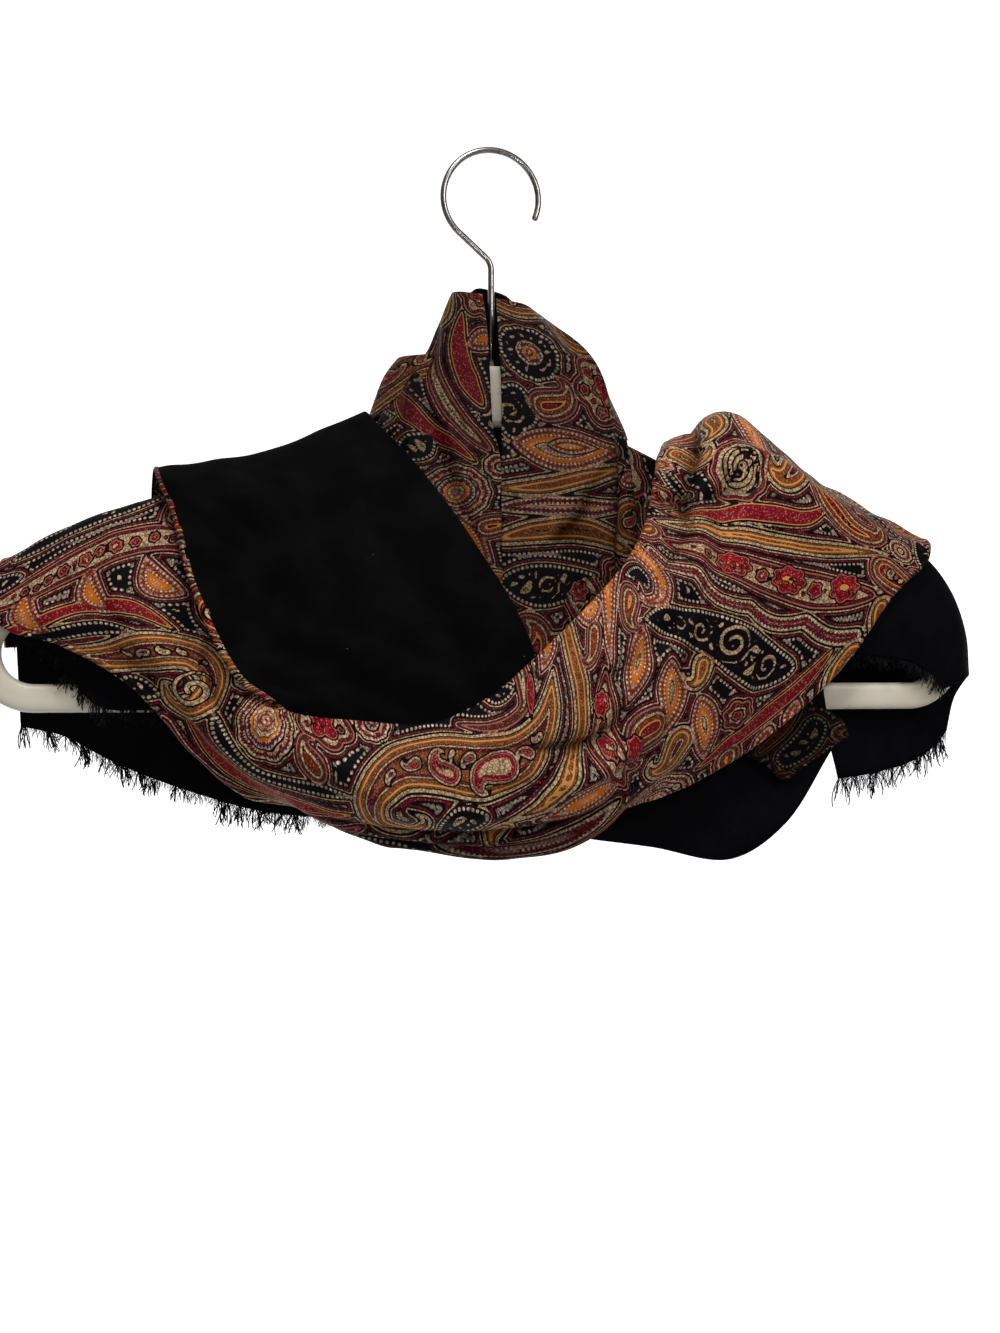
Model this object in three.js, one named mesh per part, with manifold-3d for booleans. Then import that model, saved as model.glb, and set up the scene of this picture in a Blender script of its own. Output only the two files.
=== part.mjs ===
// A long scarf wound on a tubular coat hanger: printed silk on one face, black wool on the other.
// Millimetres. +X runs along the hanger's bar, +Y to the back and +Z up.
// The origin is the inside of the hook's top, where a rail holds the hanger.
import * as THREE from 'three';
import { mergeVertices } from 'three/addons/utils/BufferGeometryUtils.js';
import Module from 'manifold-3d';

const wasm = await Module();
wasm.setup();

// ---- driving sizes ----
const WALL = 1.6;             // two layers of cloth, silk and wool
const SEAM = 0.3;             // space between two pieces
const BAR = { z: -237.3, high: 12, deep: 8 };
const END_TURN = { x: 193, radius: 19 };      // the round end that joins bar and arm
const ARM_SLOPE = THREE.MathUtils.degToRad(25.3);
const NECK = { top: -93.5, bottom: -119, wide: 15, deep: 10, round: 15 };
const WIRE = { radius: 1.4, hole: 1.75, foot: -106 };
const HOOK = { radius: 21, bendZ: -47.7, bendRadius: 3.5, joinAngle: 232, tipAngle: -22 };
const SADDLE = { side: 5.7, lift: 1.6, shoulderY: 4.45, shoulderDrop: 1.8, sideDrop: 9 };  // a layer right on the arm

const MATERIALS = {
  plastic: new THREE.MeshStandardMaterial({ color: 0xd4d0c4, roughness: 0.45, metalness: 0 }),
  steel: new THREE.MeshStandardMaterial({ color: 0xb9babd, roughness: 0.2, metalness: 1 }),
  print: new THREE.MeshStandardMaterial({ color: 0x8a4a32, roughness: 0.5, metalness: 0 }),
  wool: new THREE.MeshStandardMaterial({ color: 0x08080a, roughness: 0.95, metalness: 0 }),
};

// ---- meshes ----

const scarf = new THREE.Group();

function addPiece(name, geometry, material) {
  const mesh = new THREE.Mesh(geometry, material);
  mesh.name = name;
  scarf.add(mesh);
}

function closedGeometry(points, faces) {
  let volume = 0;
  for (const [a, b, c] of faces) {
    volume += points[a].dot(new THREE.Vector3().crossVectors(points[b], points[c]));
  }
  const index = faces.flatMap(([a, b, c]) => (volume > 0 ? [a, b, c] : [a, c, b]));
  const geometry = new THREE.BufferGeometry();
  geometry.setAttribute('position', new THREE.Float32BufferAttribute(points.flatMap((p) => p.toArray()), 3));
  geometry.setIndex(index);
  return geometry;
}

function quad(a, b, c, d) {
  return [[a, b, c], [a, c, d]];
}

// Rings of points joined one after the other; a ring may close on the first one or be capped.
function joinRings(rings, closed) {
  const sides = rings[0].length;
  const points = rings.flat();
  const faces = [];
  const last = closed ? rings.length : rings.length - 1;
  for (let i = 0; i < last; i++) {
    const next = (i + 1) % rings.length;
    for (let j = 0; j < sides; j++) {
      const k = (j + 1) % sides;
      faces.push(...quad(i * sides + j, i * sides + k, next * sides + k, next * sides + j));
    }
  }
  if (!closed) {
    const end = (rings.length - 1) * sides;
    for (let j = 1; j < sides - 1; j++) {
      faces.push([0, j + 1, j]);
      faces.push([end, end + j, end + j + 1]);
    }
  }
  return closedGeometry(points, faces);
}

// ---- the hanger ----

function roundSection(high, deep, sides, power) {
  const section = [];
  for (let i = 0; i < sides; i++) {
    const angle = (2 * Math.PI * (i + 0.5)) / sides;
    const up = Math.cos(angle);
    const out = Math.sin(angle);
    section.push({
      up: 0.5 * high * Math.sign(up) * Math.abs(up) ** power,
      out: 0.5 * deep * Math.sign(out) * Math.abs(out) ** power,
    });
  }
  return section;
}

// A section swept along a path that lies in the plane of the hanger.
function sweepInPlane(path, section, closed, taper = () => 1) {
  const rings = path.map((point, i) => {
    const before = path[closed ? (i + path.length - 1) % path.length : Math.max(i - 1, 0)];
    const after = path[closed ? (i + 1) % path.length : Math.min(i + 1, path.length - 1)];
    const along = new THREE.Vector2().subVectors(after, before).normalize();
    const size = taper(i);
    return section.map(({ up, out }) =>
      new THREE.Vector3(point.x - along.y * up * size, out * size, point.y + along.x * up * size));
  });
  return joinRings(rings, closed);
}

function arc(centreX, centreZ, radius, fromDegrees, toDegrees, steps) {
  const points = [];
  for (let i = 0; i <= steps; i++) {
    const angle = THREE.MathUtils.degToRad(fromDegrees + ((toDegrees - fromDegrees) * i) / steps);
    points.push(new THREE.Vector2(centreX + radius * Math.cos(angle), centreZ + radius * Math.sin(angle)));
  }
  return points;
}

const armTurnDegrees = 90 - THREE.MathUtils.radToDeg(ARM_SLOPE);
const turnCentreZ = BAR.z + END_TURN.radius;
const armEnd = arc(END_TURN.x, turnCentreZ, END_TURN.radius, armTurnDegrees, armTurnDegrees, 1)[0];
const peakZ = armEnd.y + armEnd.x * Math.tan(ARM_SLOPE);
const armTop = (x) => peakZ + 0.5 * BAR.high / Math.cos(ARM_SLOPE) - Math.abs(x) * Math.tan(ARM_SLOPE);

function hangerBody() {
  const rightEnd = arc(END_TURN.x, turnCentreZ, END_TURN.radius, -90, armTurnDegrees, 9);
  const neckCentreZ = peakZ - NECK.round / Math.cos(ARM_SLOPE);
  const neck = arc(0, neckCentreZ, NECK.round, armTurnDegrees, 180 - armTurnDegrees, 4);
  const leftEnd = arc(-END_TURN.x, turnCentreZ, END_TURN.radius, 180 - armTurnDegrees, 270, 9);
  const loop = sweepInPlane([...rightEnd, ...neck, ...leftEnd], roundSection(BAR.high, BAR.deep, 12, 0.62), true);

  const bossSection = roundSection(NECK.wide, NECK.deep, 12, 0.7);
  const bossLevels = [NECK.bottom, NECK.bottom + 5, NECK.top - 4, NECK.top];
  const bossWidths = [0.8, 1, 0.92, 0.72];
  const boss = joinRings(bossLevels.map((z, i) =>
    bossSection.map(({ up, out }) => new THREE.Vector3(up * bossWidths[i], out * bossWidths[i], z))), false);

  const hole = new THREE.CylinderGeometry(WIRE.hole, WIRE.hole, 2 * (NECK.top - WIRE.foot + SEAM), 12);
  hole.rotateX(Math.PI / 2);
  hole.translate(0, 0, NECK.top);
  return fromSolid(toSolid(loop).add(toSolid(boss)).subtract(toSolid(hole)));
}

function toSolid(geometry) {
  const bare = geometry.clone();
  bare.deleteAttribute('normal');
  bare.deleteAttribute('uv');
  const merged = mergeVertices(bare, 1e-4);
  return new wasm.Manifold(new wasm.Mesh({
    numProp: 3,
    vertProperties: new Float32Array(merged.attributes.position.array),
    triVerts: new Uint32Array(merged.index.array),
  }));
}

function fromSolid(solid) {
  const mesh = solid.getMesh();
  const geometry = new THREE.BufferGeometry();
  geometry.setAttribute('position', new THREE.BufferAttribute(new Float32Array(mesh.vertProperties), 3));
  geometry.setIndex(new THREE.BufferAttribute(new Uint32Array(mesh.triVerts), 1));
  return geometry;
}

// The wire goes up from the neck, bends to the left and turns right round over the top.
function hangerHook() {
  const centreZ = WIRE.radius - HOOK.radius;
  const turn = arc(0, centreZ, HOOK.radius, HOOK.joinAngle, HOOK.tipAngle, 22);
  const bend = new THREE.Vector2(0, HOOK.bendZ);
  const toTurn = new THREE.Vector2().subVectors(turn[0], bend).normalize();
  const foot = new THREE.Vector2(0, WIRE.foot);
  const path = [
    foot,
    new THREE.Vector2(0, HOOK.bendZ - HOOK.bendRadius),
    new THREE.Vector2(0, HOOK.bendZ - 0.45 * HOOK.bendRadius),
    bend.clone().addScaledVector(toTurn, 0.45 * HOOK.bendRadius),
    bend.clone().addScaledVector(toTurn, HOOK.bendRadius),
    ...turn,
  ];
  const tip = path[path.length - 1].clone().add(new THREE.Vector2(-0.3, -1.1));
  path.push(tip);
  const round = roundSection(2 * WIRE.radius, 2 * WIRE.radius, 8, 1);
  return sweepInPlane(path, round, false, (i) => (i === path.length - 1 ? 0.45 : 1));
}

// ---- cloth ----

// A smooth sheet through a table: each row is a section of the cloth, each column a line along it.
function loft(table, columns) {
  const lines = columns.map((column) =>
    new THREE.CatmullRomCurve3(table.map((row) => new THREE.Vector3(...row[column])), false, 'centripetal'));
  const lastRow = table.length - 1;
  return (row, across) => {
    const section = lines.map((line) => line.getPoint(THREE.MathUtils.clamp(row / lastRow, 0, 1)));
    return new THREE.CatmullRomCurve3(section, false, 'centripetal').getPoint(across);
  };
}

function normalAt(sheet, row, across) {
  const step = 0.004;
  const alongRow = sheet(row + step, across).sub(sheet(row - step, across));
  const acrossRow = sheet(row, Math.min(across + step, 1)).sub(sheet(row, Math.max(across - step, 0)));
  return acrossRow.cross(alongRow).normalize();
}

// A fold is a soft ridge, or a trough where its height is negative, on a curve through three places.
const FOLD_STEPS = 8;

function foldCurve(sheet, { from, through, to }) {
  const points = [];
  for (let i = 0; i <= FOLD_STEPS; i++) {
    const part = i / FOLD_STEPS;
    const blend = [(1 - part) * (1 - 2 * part), 4 * part * (1 - part), part * (2 * part - 1)];
    const place = [0, 1].map((k) => blend[0] * from[k] + blend[1] * through[k] + blend[2] * to[k]);
    points.push(sheet(...place));
  }
  return points;
}

// The height of all folds at one point of the sheet; each fades out towards its two ends.
function foldHeight(folds, point) {
  let height = 0;
  for (const fold of folds) {
    let nearest = Infinity;
    let along = 0;
    for (let i = 0; i < FOLD_STEPS; i++) {
      const piece = new THREE.Line3(fold.curve[i], fold.curve[i + 1]);
      const part = piece.closestPointToPointParameter(point, true);
      const away = piece.at(part, new THREE.Vector3()).distanceTo(point);
      if (away < nearest) {
        nearest = away;
        along = (i + part) / FOLD_STEPS;
      }
    }
    height += fold.height * Math.exp(-((nearest / fold.width) ** 2)) * Math.sin(Math.PI * (0.1 + 0.8 * along));
  }
  return height;
}

// A wall of cloth over part of a sheet.
function clothWall(sheet, { rows, steps, folds = [] }) {
  const [alongSteps, acrossSteps] = steps;
  const curves = folds.map((fold) => ({ ...fold, curve: foldCurve(sheet, fold) }));
  const outer = [];
  const inner = [];
  for (let i = 0; i <= alongSteps; i++) {
    for (let j = 0; j <= acrossSteps; j++) {
      const row = THREE.MathUtils.lerp(rows[0], rows[1], i / alongSteps);
      const place = j / acrossSteps;
      const normal = normalAt(sheet, row, place);
      const flat = sheet(row, place);
      const middle = flat.clone().addScaledVector(normal, foldHeight(curves, flat));
      outer.push(middle.clone().addScaledVector(normal, WALL / 2));
      inner.push(middle.clone().addScaledVector(normal, -WALL / 2));
    }
  }
  const width = acrossSteps + 1;
  const count = outer.length;
  const at = (i, j) => i * width + j;
  const faces = [];
  for (let i = 0; i < alongSteps; i++) {
    for (let j = 0; j < acrossSteps; j++) {
      faces.push(...quad(at(i, j), at(i, j + 1), at(i + 1, j + 1), at(i + 1, j)));
      faces.push(...quad(count + at(i, j), count + at(i + 1, j), count + at(i + 1, j + 1), count + at(i, j + 1)));
    }
  }
  const edge = [];
  for (let j = 0; j < acrossSteps; j++) edge.push(at(0, j));
  for (let i = 0; i < alongSteps; i++) edge.push(at(i, acrossSteps));
  for (let j = acrossSteps; j > 0; j--) edge.push(at(alongSteps, j));
  for (let i = alongSteps; i > 0; i--) edge.push(at(i, 0));
  edge.forEach((a, k) => {
    const b = edge[(k + 1) % edge.length];
    faces.push(...quad(a, count + a, count + b, b));
  });
  return closedGeometry([...outer, ...inner], faces);
}

// ---- layers that lie right on the hanger's arms ----

// One section across an arm, from the front hem over the top to the back hem.
function armSection({ x, frontX, frontZ, frontY, backX, backZ, backY }) {
  const { side, shoulderY, shoulderDrop, sideDrop } = SADDLE;
  const crown = armTop(x) + SADDLE.lift;
  const high = crown - sideDrop;
  return {
    frontHem: [frontX, -frontY, frontZ],
    frontLow: [(frontX + x) / 2, -(frontY + side) / 2, (frontZ + high) / 2],
    frontHigh: [x, -side, high],
    frontRound: [x, -shoulderY, crown - shoulderDrop],
    crown: [x, 0, crown],
    backRound: [x, shoulderY, crown - shoulderDrop],
    backHigh: [x, side, high],
    backLow: [(backX + x) / 2, (backY + side) / 2, (backZ + high) / 2],
    backHem: [backX, backY, backZ],
  };
}
const SECTION = ['frontHem', 'frontLow', 'frontHigh', 'frontRound', 'crown', 'backRound', 'backHigh',
  'backLow', 'backHem'];

// The scarf's left end: black, over the left arm, its raw hem hanging behind the bar.
const LEFT_END = [
  { x: -201, frontX: -199, frontZ: -212, frontY: 6, backX: -199, backZ: -249, backY: 8 },
  { x: -186, frontX: -184, frontZ: -219, frontY: 6, backX: -182, backZ: -253, backY: 8.5 },
  { x: -168, frontX: -167, frontZ: -240, frontY: 7, backX: -162, backZ: -264, backY: 9 },
  { x: -152, frontX: -150, frontZ: -242, frontY: 7, backX: -141, backZ: -273, backY: 9 },
  { x: -137, frontX: -134, frontZ: -241, frontY: 7, backX: -121, backZ: -280, backY: 8.5 },
  { x: -118, frontX: -116, frontZ: -247, frontY: 7, backX: -100, backZ: -286, backY: 9 },
  { x: -97, frontX: -97, frontZ: -249, frontY: 7, backX: -78, backZ: -289, backY: 9.5 },
  { x: -76, frontX: -78, frontZ: -247, frontY: 7, backX: -55, backZ: -291, backY: 9 },
  { x: -52, frontX: -58, frontZ: -240, frontY: 7, backX: -32, backZ: -292, backY: 8.5 },
];

// The plain black stretch under the fan: over the right arm and down to the lowest point.
const LOWER_TAIL = [
  { x: 53, frontX: 42, frontZ: -299, frontY: 9, backX: 46, backZ: -225, backY: 6.5 },
  { x: 76, frontX: 70, frontZ: -303, frontY: 9, backX: 72, backZ: -252, backY: 7.5 },
  { x: 100, frontX: 106, frontZ: -309, frontY: 9, backX: 98, backZ: -262, backY: 7.5 },
  { x: 124, frontX: 131, frontZ: -294, frontY: 9, backX: 122, backZ: -255, backY: 7 },
  { x: 149, frontX: 157, frontZ: -262, frontY: 9, backX: 146, backZ: -238, backY: 6.5 },
];

// The scarf's right end: black, folded round the end of the right arm.
const RIGHT_END = [
  { front: [159, -9, -218], frontMid: [159, -9, -186], fold: [160, 0, -156], backMid: [160, 8, -205], back: [161, 6, -272] },
  { front: [168, -9, -219], frontMid: [173, -10, -188], fold: [183, 0, -164], backMid: [176, 8.5, -210], back: [171, 6.5, -274] },
  { front: [180, -9, -220], frontMid: [188, -10, -194], fold: [202, 0, -175], backMid: [193, 9, -215], back: [183, 7, -272] },
  { front: [191, -9, -222], frontMid: [202, -10, -203], fold: [214, 0, -190], backMid: [206, 9, -222], back: [197, 7.5, -268] },
  { front: [200, -9, -227], frontMid: [212, -9, -216], fold: [221, 0, -209], backMid: [215, 9, -230], back: [208, 8, -262] },
  { front: [207, -8, -234], frontMid: [217, -7, -230], fold: [223, 1, -228], backMid: [220, 9, -238], back: [216, 9, -254] },
];
const RIGHT_END_COLUMNS = ['front', 'frontMid', 'fold', 'backMid', 'back'];

// ---- the long printed band: back of the left arm, sweep, swag, fan, back of the right arm ----

const BAND = [
  { upper: [-112, 16, -206], crest: [-142, 15, -210], lower: [-176, 13, -214], edge: [-206, 11.4, -216] },
  { upper: [-110, 15, -168], crest: [-143, 14, -180], lower: [-176, 13, -190], edge: [-207, 11, -199] },
  { upper: [-112, -1, -144], crest: [-146, -1, -154], lower: [-177, -1, -165], edge: [-206, -1, -181] },
  { upper: [-112, -18, -162], crest: [-143, -16, -171], lower: [-176, -14, -181], edge: [-208, -11, -195] },
  { upper: [-112, -25, -179], crest: [-143, -21, -189], lower: [-176, -17, -199], edge: [-205, -13, -207] },
  { upper: [-111, -31, -196], crest: [-137, -26, -205], lower: [-160, -20, -213], edge: [-181, -15, -215] },
  { upper: [-108, -36, -214], crest: [-127, -31, -221], lower: [-142, -25, -228], edge: [-154, -18, -231] },
  { upper: [-101, -41, -236], crest: [-110, -40, -246], lower: [-120, -34, -254], edge: [-127, -24, -260] },
  { upper: [-87, -49, -243], crest: [-90, -54, -259], lower: [-97, -44, -272], edge: [-106, -29, -277] },
  { upper: [-62, -52, -246], crest: [-66, -61, -265], lower: [-73, -40, -290], edge: [-76, -22, -282] },
  { upper: [-34, -52, -247], crest: [-37, -65, -270], lower: [-37, -42, -300], edge: [-38, -18, -288] },
  { upper: [-10, -51, -237], crest: [-9, -65, -265], lower: [1, -42, -304], edge: [4, -18, -292] },
  { upper: [13, -48, -218], crest: [18, -62, -251], lower: [36, -39, -296], edge: [42, -19, -286] },
  { upper: [34, -45, -198], crest: [44, -58, -233], lower: [63, -42, -268], edge: [72, -23, -279] },
  { upper: [50, -40, -181], crest: [70, -51, -211], lower: [94, -36, -239], edge: [113, -19, -259] },
  { upper: [59, -36, -166], crest: [86, -45, -187], lower: [122, -31, -208], edge: [155, -15, -225] },
  { upper: [64, -31, -151], crest: [96, -39, -162], lower: [141, -27, -177], edge: [182, -14, -190] },
  { upper: [69, -21, -137], crest: [101, -27, -129], lower: [146, -21, -152], edge: [198, -11, -176] },
  { upper: [77, 0, -124], crest: [105, 0, -110.5], lower: [146, 0, -139], edge: [203, 0, -167.5] },
  { upper: [80, 17, -142], crest: [104, 22, -133], lower: [148, 17, -158], edge: [204, 11, -182] },
  { upper: [78, 22, -216], crest: [110, 26, -229], lower: [158, 20, -214], edge: [200, 13, -203] },
];
const BAND_COLUMNS = ['upper', 'crest', 'lower', 'edge'];
const SWEEP_ENDS = 8;          // the row where the sweep meets the swag
const SWAG_ENDS = 13;          // the row where the swag meets the fan
const ROW_GAP = 0.012;         // part of a row that opens the seam between two stretches

const BAND_FOLDS = [
  { from: [2.6, 0.5], through: [5, 0.5], to: [8, 0.62], height: 3.2, width: 6 },
  { from: [4.2, 0.72], through: [6, 0.76], to: [8.5, 0.84], height: -2.6, width: 5 },
  { from: [8, 0.74], through: [10.4, 0.84], to: [13.4, 0.8], height: -4.2, width: 6 },
  { from: [8.6, 0.5], through: [10.8, 0.58], to: [13.8, 0.56], height: 3.8, width: 7 },
  { from: [9.6, 0.34], through: [11.6, 0.42], to: [14, 0.4], height: -3.2, width: 5 },
  { from: [11.6, 0.2], through: [13.6, 0.22], to: [16, 0.16], height: 2.6, width: 5 },
  { from: [15, 0.36], through: [16, 0.32], to: [17, 0.22], height: -5.5, width: 7 },
  { from: [15.9, 0.42], through: [16.1, 0.62], to: [15.7, 0.92], height: -3.6, width: 6 },
  { from: [16.8, 0.34], through: [17, 0.55], to: [16.9, 0.86], height: 3.4, width: 6 },
  { from: [15, 0.42], through: [14.4, 0.62], to: [13.9, 0.9], height: 3.2, width: 7 },
  { from: [14.6, 0.3], through: [13.8, 0.3], to: [12.6, 0.28], height: -2.8, width: 5 },
  { from: [18.6, 0.3], through: [19.2, 0.36], to: [19.9, 0.34], height: 3, width: 8 },
];

// ---- the black flap over the left arm, its lower edge tucked behind the swag ----

const FLAP = [
  { left: [-141, 19, -178], middle: [-101, 21, -207], right: [-64, 20, -226] },
  { left: [-145, 17, -160], middle: [-100, 19, -152], right: [-58, 19, -138] },
  { left: [-144, 0, -141], middle: [-100, 0, -133.5], right: [-56, 0, -115] },
  { left: [-142, -13, -147], middle: [-98, -16, -144], right: [-51, -15, -122] },
  { left: [-136, -21, -162], middle: [-88, -30, -156], right: [-37, -27, -139] },
  { left: [-130, -30, -187], middle: [-77, -39, -181], right: [-21, -34, -161] },
  { left: [-121, -36.5, -210], middle: [-65, -44, -202], right: [-7, -39, -183] },
  { left: [-109, -41.7, -229], middle: [-51, -47, -222], right: [4, -42, -202] },
  { left: [-98, -46, -234.5], middle: [-41, -46, -240], right: [11, -42.5, -220] },
  { left: [-84, -44, -239], middle: [-31, -44, -253], right: [10, -41, -232] },
];
const FLAP_COLUMNS = ['left', 'middle', 'right'];
const FLAP_FOLDS = [
  { from: [2.1, 0.33], through: [4, 0.36], to: [6.6, 0.46], height: -2.6, width: 8 },
  { from: [4, 0.74], through: [6, 0.72], to: [8.4, 0.8], height: 2.4, width: 9 },
  { from: [5.6, 0.1], through: [7.2, 0.3], to: [8.4, 0.6], height: 2, width: 8 },
];

// ---- the cowl round the hook: rings of cloth, open in front ----

const COWL = [
  { left: -17, right: 22, front: -13, back: 12, leftZ: -62, rightZ: -71, slitLeft: -6, slitRight: 2 },
  { left: -23, right: 33, front: -17, back: 17, leftZ: -74, rightZ: -80, slitLeft: -5, slitRight: 1.5 },
  { left: -27, right: 44, front: -21, back: 22, leftZ: -88, rightZ: -92, slitLeft: -4.5, slitRight: 1 },
  { left: -38, right: 53, front: -22.5, back: 25, leftZ: -103, rightZ: -107, slitLeft: -4.2, slitRight: 0.7 },
  { left: -50, right: 61, front: -24, back: 27, leftZ: -119.6, rightZ: -124, slitLeft: -3.6, slitRight: 0.7 },
  { left: -60, right: 65, front: -25, back: 28, leftZ: -141, rightZ: -144, slitLeft: -0.9, slitRight: 0.4 },
  { left: -65, right: 67, front: -26, back: 28, leftZ: -166, rightZ: -168, slitLeft: -0.6, slitRight: 0.4 },
  { left: -68, right: 68, front: -28, back: 28, leftZ: -194, rightZ: -196, slitLeft: -0.6, slitRight: 0.4 },
  { left: -68, right: 66, front: -31, back: 27, leftZ: -226, rightZ: -226, slitLeft: -0.6, slitRight: 0.4 },
];
const COWL_RIM_ROWS = [0, 4];
const COWL_FALL_ROWS = [4.02, 8];
const COWL_SIDE = THREE.MathUtils.degToRad(62);       // where the front falls stop beside the arms
const COWL_BACK = THREE.MathUtils.degToRad(120);      // where the back fall starts
const BACK_HEM = { shortest: 6.5, longest: 8 };       // rows of the cowl that the back fall reaches

// The ring of a table at a row, which need not be a whole number.
function ringAt(table, row) {
  const ring = {};
  for (const column of Object.keys(table[0])) {
    const line = new THREE.SplineCurve(table.map((entry, i) => new THREE.Vector2(i, entry[column])));
    ring[column] = line.getPoint(THREE.MathUtils.clamp(row / (table.length - 1), 0, 1)).y;
  }
  return ring;
}

// The point of a ring at a turn from the front, positive towards the right.
function ringPoint({ left, right, front, back, leftZ, rightZ }, turn) {
  return new THREE.Vector3(
    (right + left) / 2 + ((right - left) / 2) * Math.sin(turn),
    (back + front) / 2 - ((back - front) / 2) * Math.cos(turn),
    THREE.MathUtils.lerp(leftZ, rightZ, 0.5 + 0.5 * Math.sin(turn)),
  );
}

function turnAtX({ left, right }, x) {
  return Math.asin((x - (right + left) / 2) / ((right - left) / 2));
}

// A sheet of rings between two turns, each of which may depend on the ring.
function ringSheet(table, turnFrom, turnTo) {
  return (row, across) => {
    const ring = ringAt(table, row);
    return ringPoint(ring, THREE.MathUtils.lerp(turnFrom(ring), turnTo(ring), across));
  };
}

const slitLeftTurn = (ring) => turnAtX(ring, ring.slitLeft);
const slitRightTurn = (ring) => turnAtX(ring, ring.slitRight);
const cowlRing = ringSheet(COWL, slitRightTurn, (ring) => slitLeftTurn(ring) + 2 * Math.PI);
const neckLeft = ringSheet(COWL, () => -COWL_SIDE, slitLeftTurn);
const neckRight = ringSheet(COWL, slitRightTurn, () => COWL_SIDE);
const backTop = COWL_FALL_ROWS[0];
const backSheet = ringSheet(COWL, () => COWL_BACK, () => 2 * Math.PI - COWL_BACK);
const backFall = (part, across) => {
  const drop = Math.sin(Math.PI * (0.15 + 0.7 * across)) ** 2;
  const hem = THREE.MathUtils.lerp(BACK_HEM.shortest, BACK_HEM.longest, drop);
  return backSheet(THREE.MathUtils.lerp(backTop, hem, part), across);
};

// The printed layer that comes round the back of the cowl to the left shoulder.
const SHOULDER = [
  { left: -40, right: 49, front: -13, back: 25, leftZ: -90, rightZ: -90 },
  { left: -46.4, right: 54.4, front: -14, back: 27.4, leftZ: -99, rightZ: -100 },
  { left: -52.5, right: 59, front: -14, back: 29.2, leftZ: -116, rightZ: -118 },
];
const SHOULDER_TURNS = [THREE.MathUtils.degToRad(128), THREE.MathUtils.degToRad(284)];
const shoulder = ringSheet(SHOULDER, () => SHOULDER_TURNS[0], () => SHOULDER_TURNS[1]);

const COLLAR_FOLDS = [
  { from: [0.6, 0.8], through: [2.4, 0.85], to: [4.6, 0.93], height: 2.8, width: 4.5 },
  { from: [0.4, 0.1], through: [2, 0.13], to: [4, 0.2], height: -2.2, width: 5 },
  { from: [1, 0.3], through: [2.4, 0.34], to: [4.2, 0.34], height: 2.2, width: 6 },
];
const NECK_LEFT_FOLDS = [
  { from: [3.6, 0.45], through: [5, 0.62], to: [6.6, 0.92], height: 2.6, width: 4.5 },
  { from: [4, 0.1], through: [5.4, 0.3], to: [7, 0.5], height: -2, width: 5 },
];
const NECK_RIGHT_FOLDS = [
  { from: [4.4, 0.88], through: [5, 0.6], to: [5.8, 0.5], height: -2.4, width: 4 },
  { from: [4.2, 0.95], through: [5.6, 0.88], to: [7, 0.8], height: 2.4, width: 5 },
  { from: [5.8, 0.2], through: [6.2, 0.5], to: [6, 0.9], height: 2, width: 5 },
];
const BACK_FOLDS = [
  { from: [0, 0.25], through: [0.5, 0.32], to: [1, 0.3], height: 3, width: 8 },
  { from: [0, 0.55], through: [0.5, 0.58], to: [1, 0.52], height: -3, width: 7 },
  { from: [0.1, 0.8], through: [0.6, 0.74], to: [1, 0.76], height: 2.6, width: 8 },
];

// ---- the small printed corner that lies on the black tail, below the fan ----

const CORNER = [
  { high: [112, -232], low: [101, -256] },
  { high: [133, -234], low: [110, -262] },
  { high: [146, -241], low: [120, -267] },
  { high: [157, -248], low: [129, -274] },
  { high: [160, -255], low: [138, -269] },
];
const CORNER_DEPTH = -(LOWER_TAIL[0].frontY + WALL);
const CORNER_CURL = 2.5;
const cornerRows = CORNER.map(({ high, low }) => ({
  high: [high[0], CORNER_DEPTH, high[1]],
  low: [low[0], CORNER_DEPTH - CORNER_CURL, low[1]],
}));

// ---- fringe ----

let seed = 7;
function random() {
  seed = (seed * 16807) % 2147483647;
  return seed / 2147483647;
}

function strand(root, direction, side, length, radius) {
  const across = new THREE.Vector3().crossVectors(direction, side).normalize();
  const rings = [0, 1].map((part) => {
    const centre = root.clone().addScaledVector(direction, length * part);
    const size = radius * (1 - 0.7 * part);
    return [0, 1, 2].map((corner) => {
      const angle = (2 * Math.PI * corner) / 3;
      return centre.clone().addScaledVector(side, size * Math.cos(angle))
        .addScaledVector(across, size * Math.sin(angle));
    });
  });
  return joinRings(rings, false);
}

// A narrow strip just off a hem, with strands fused into it.
const STRIP = { near: SEAM, far: 2.2, thick: 1.1, root: 0.9 };

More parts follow.
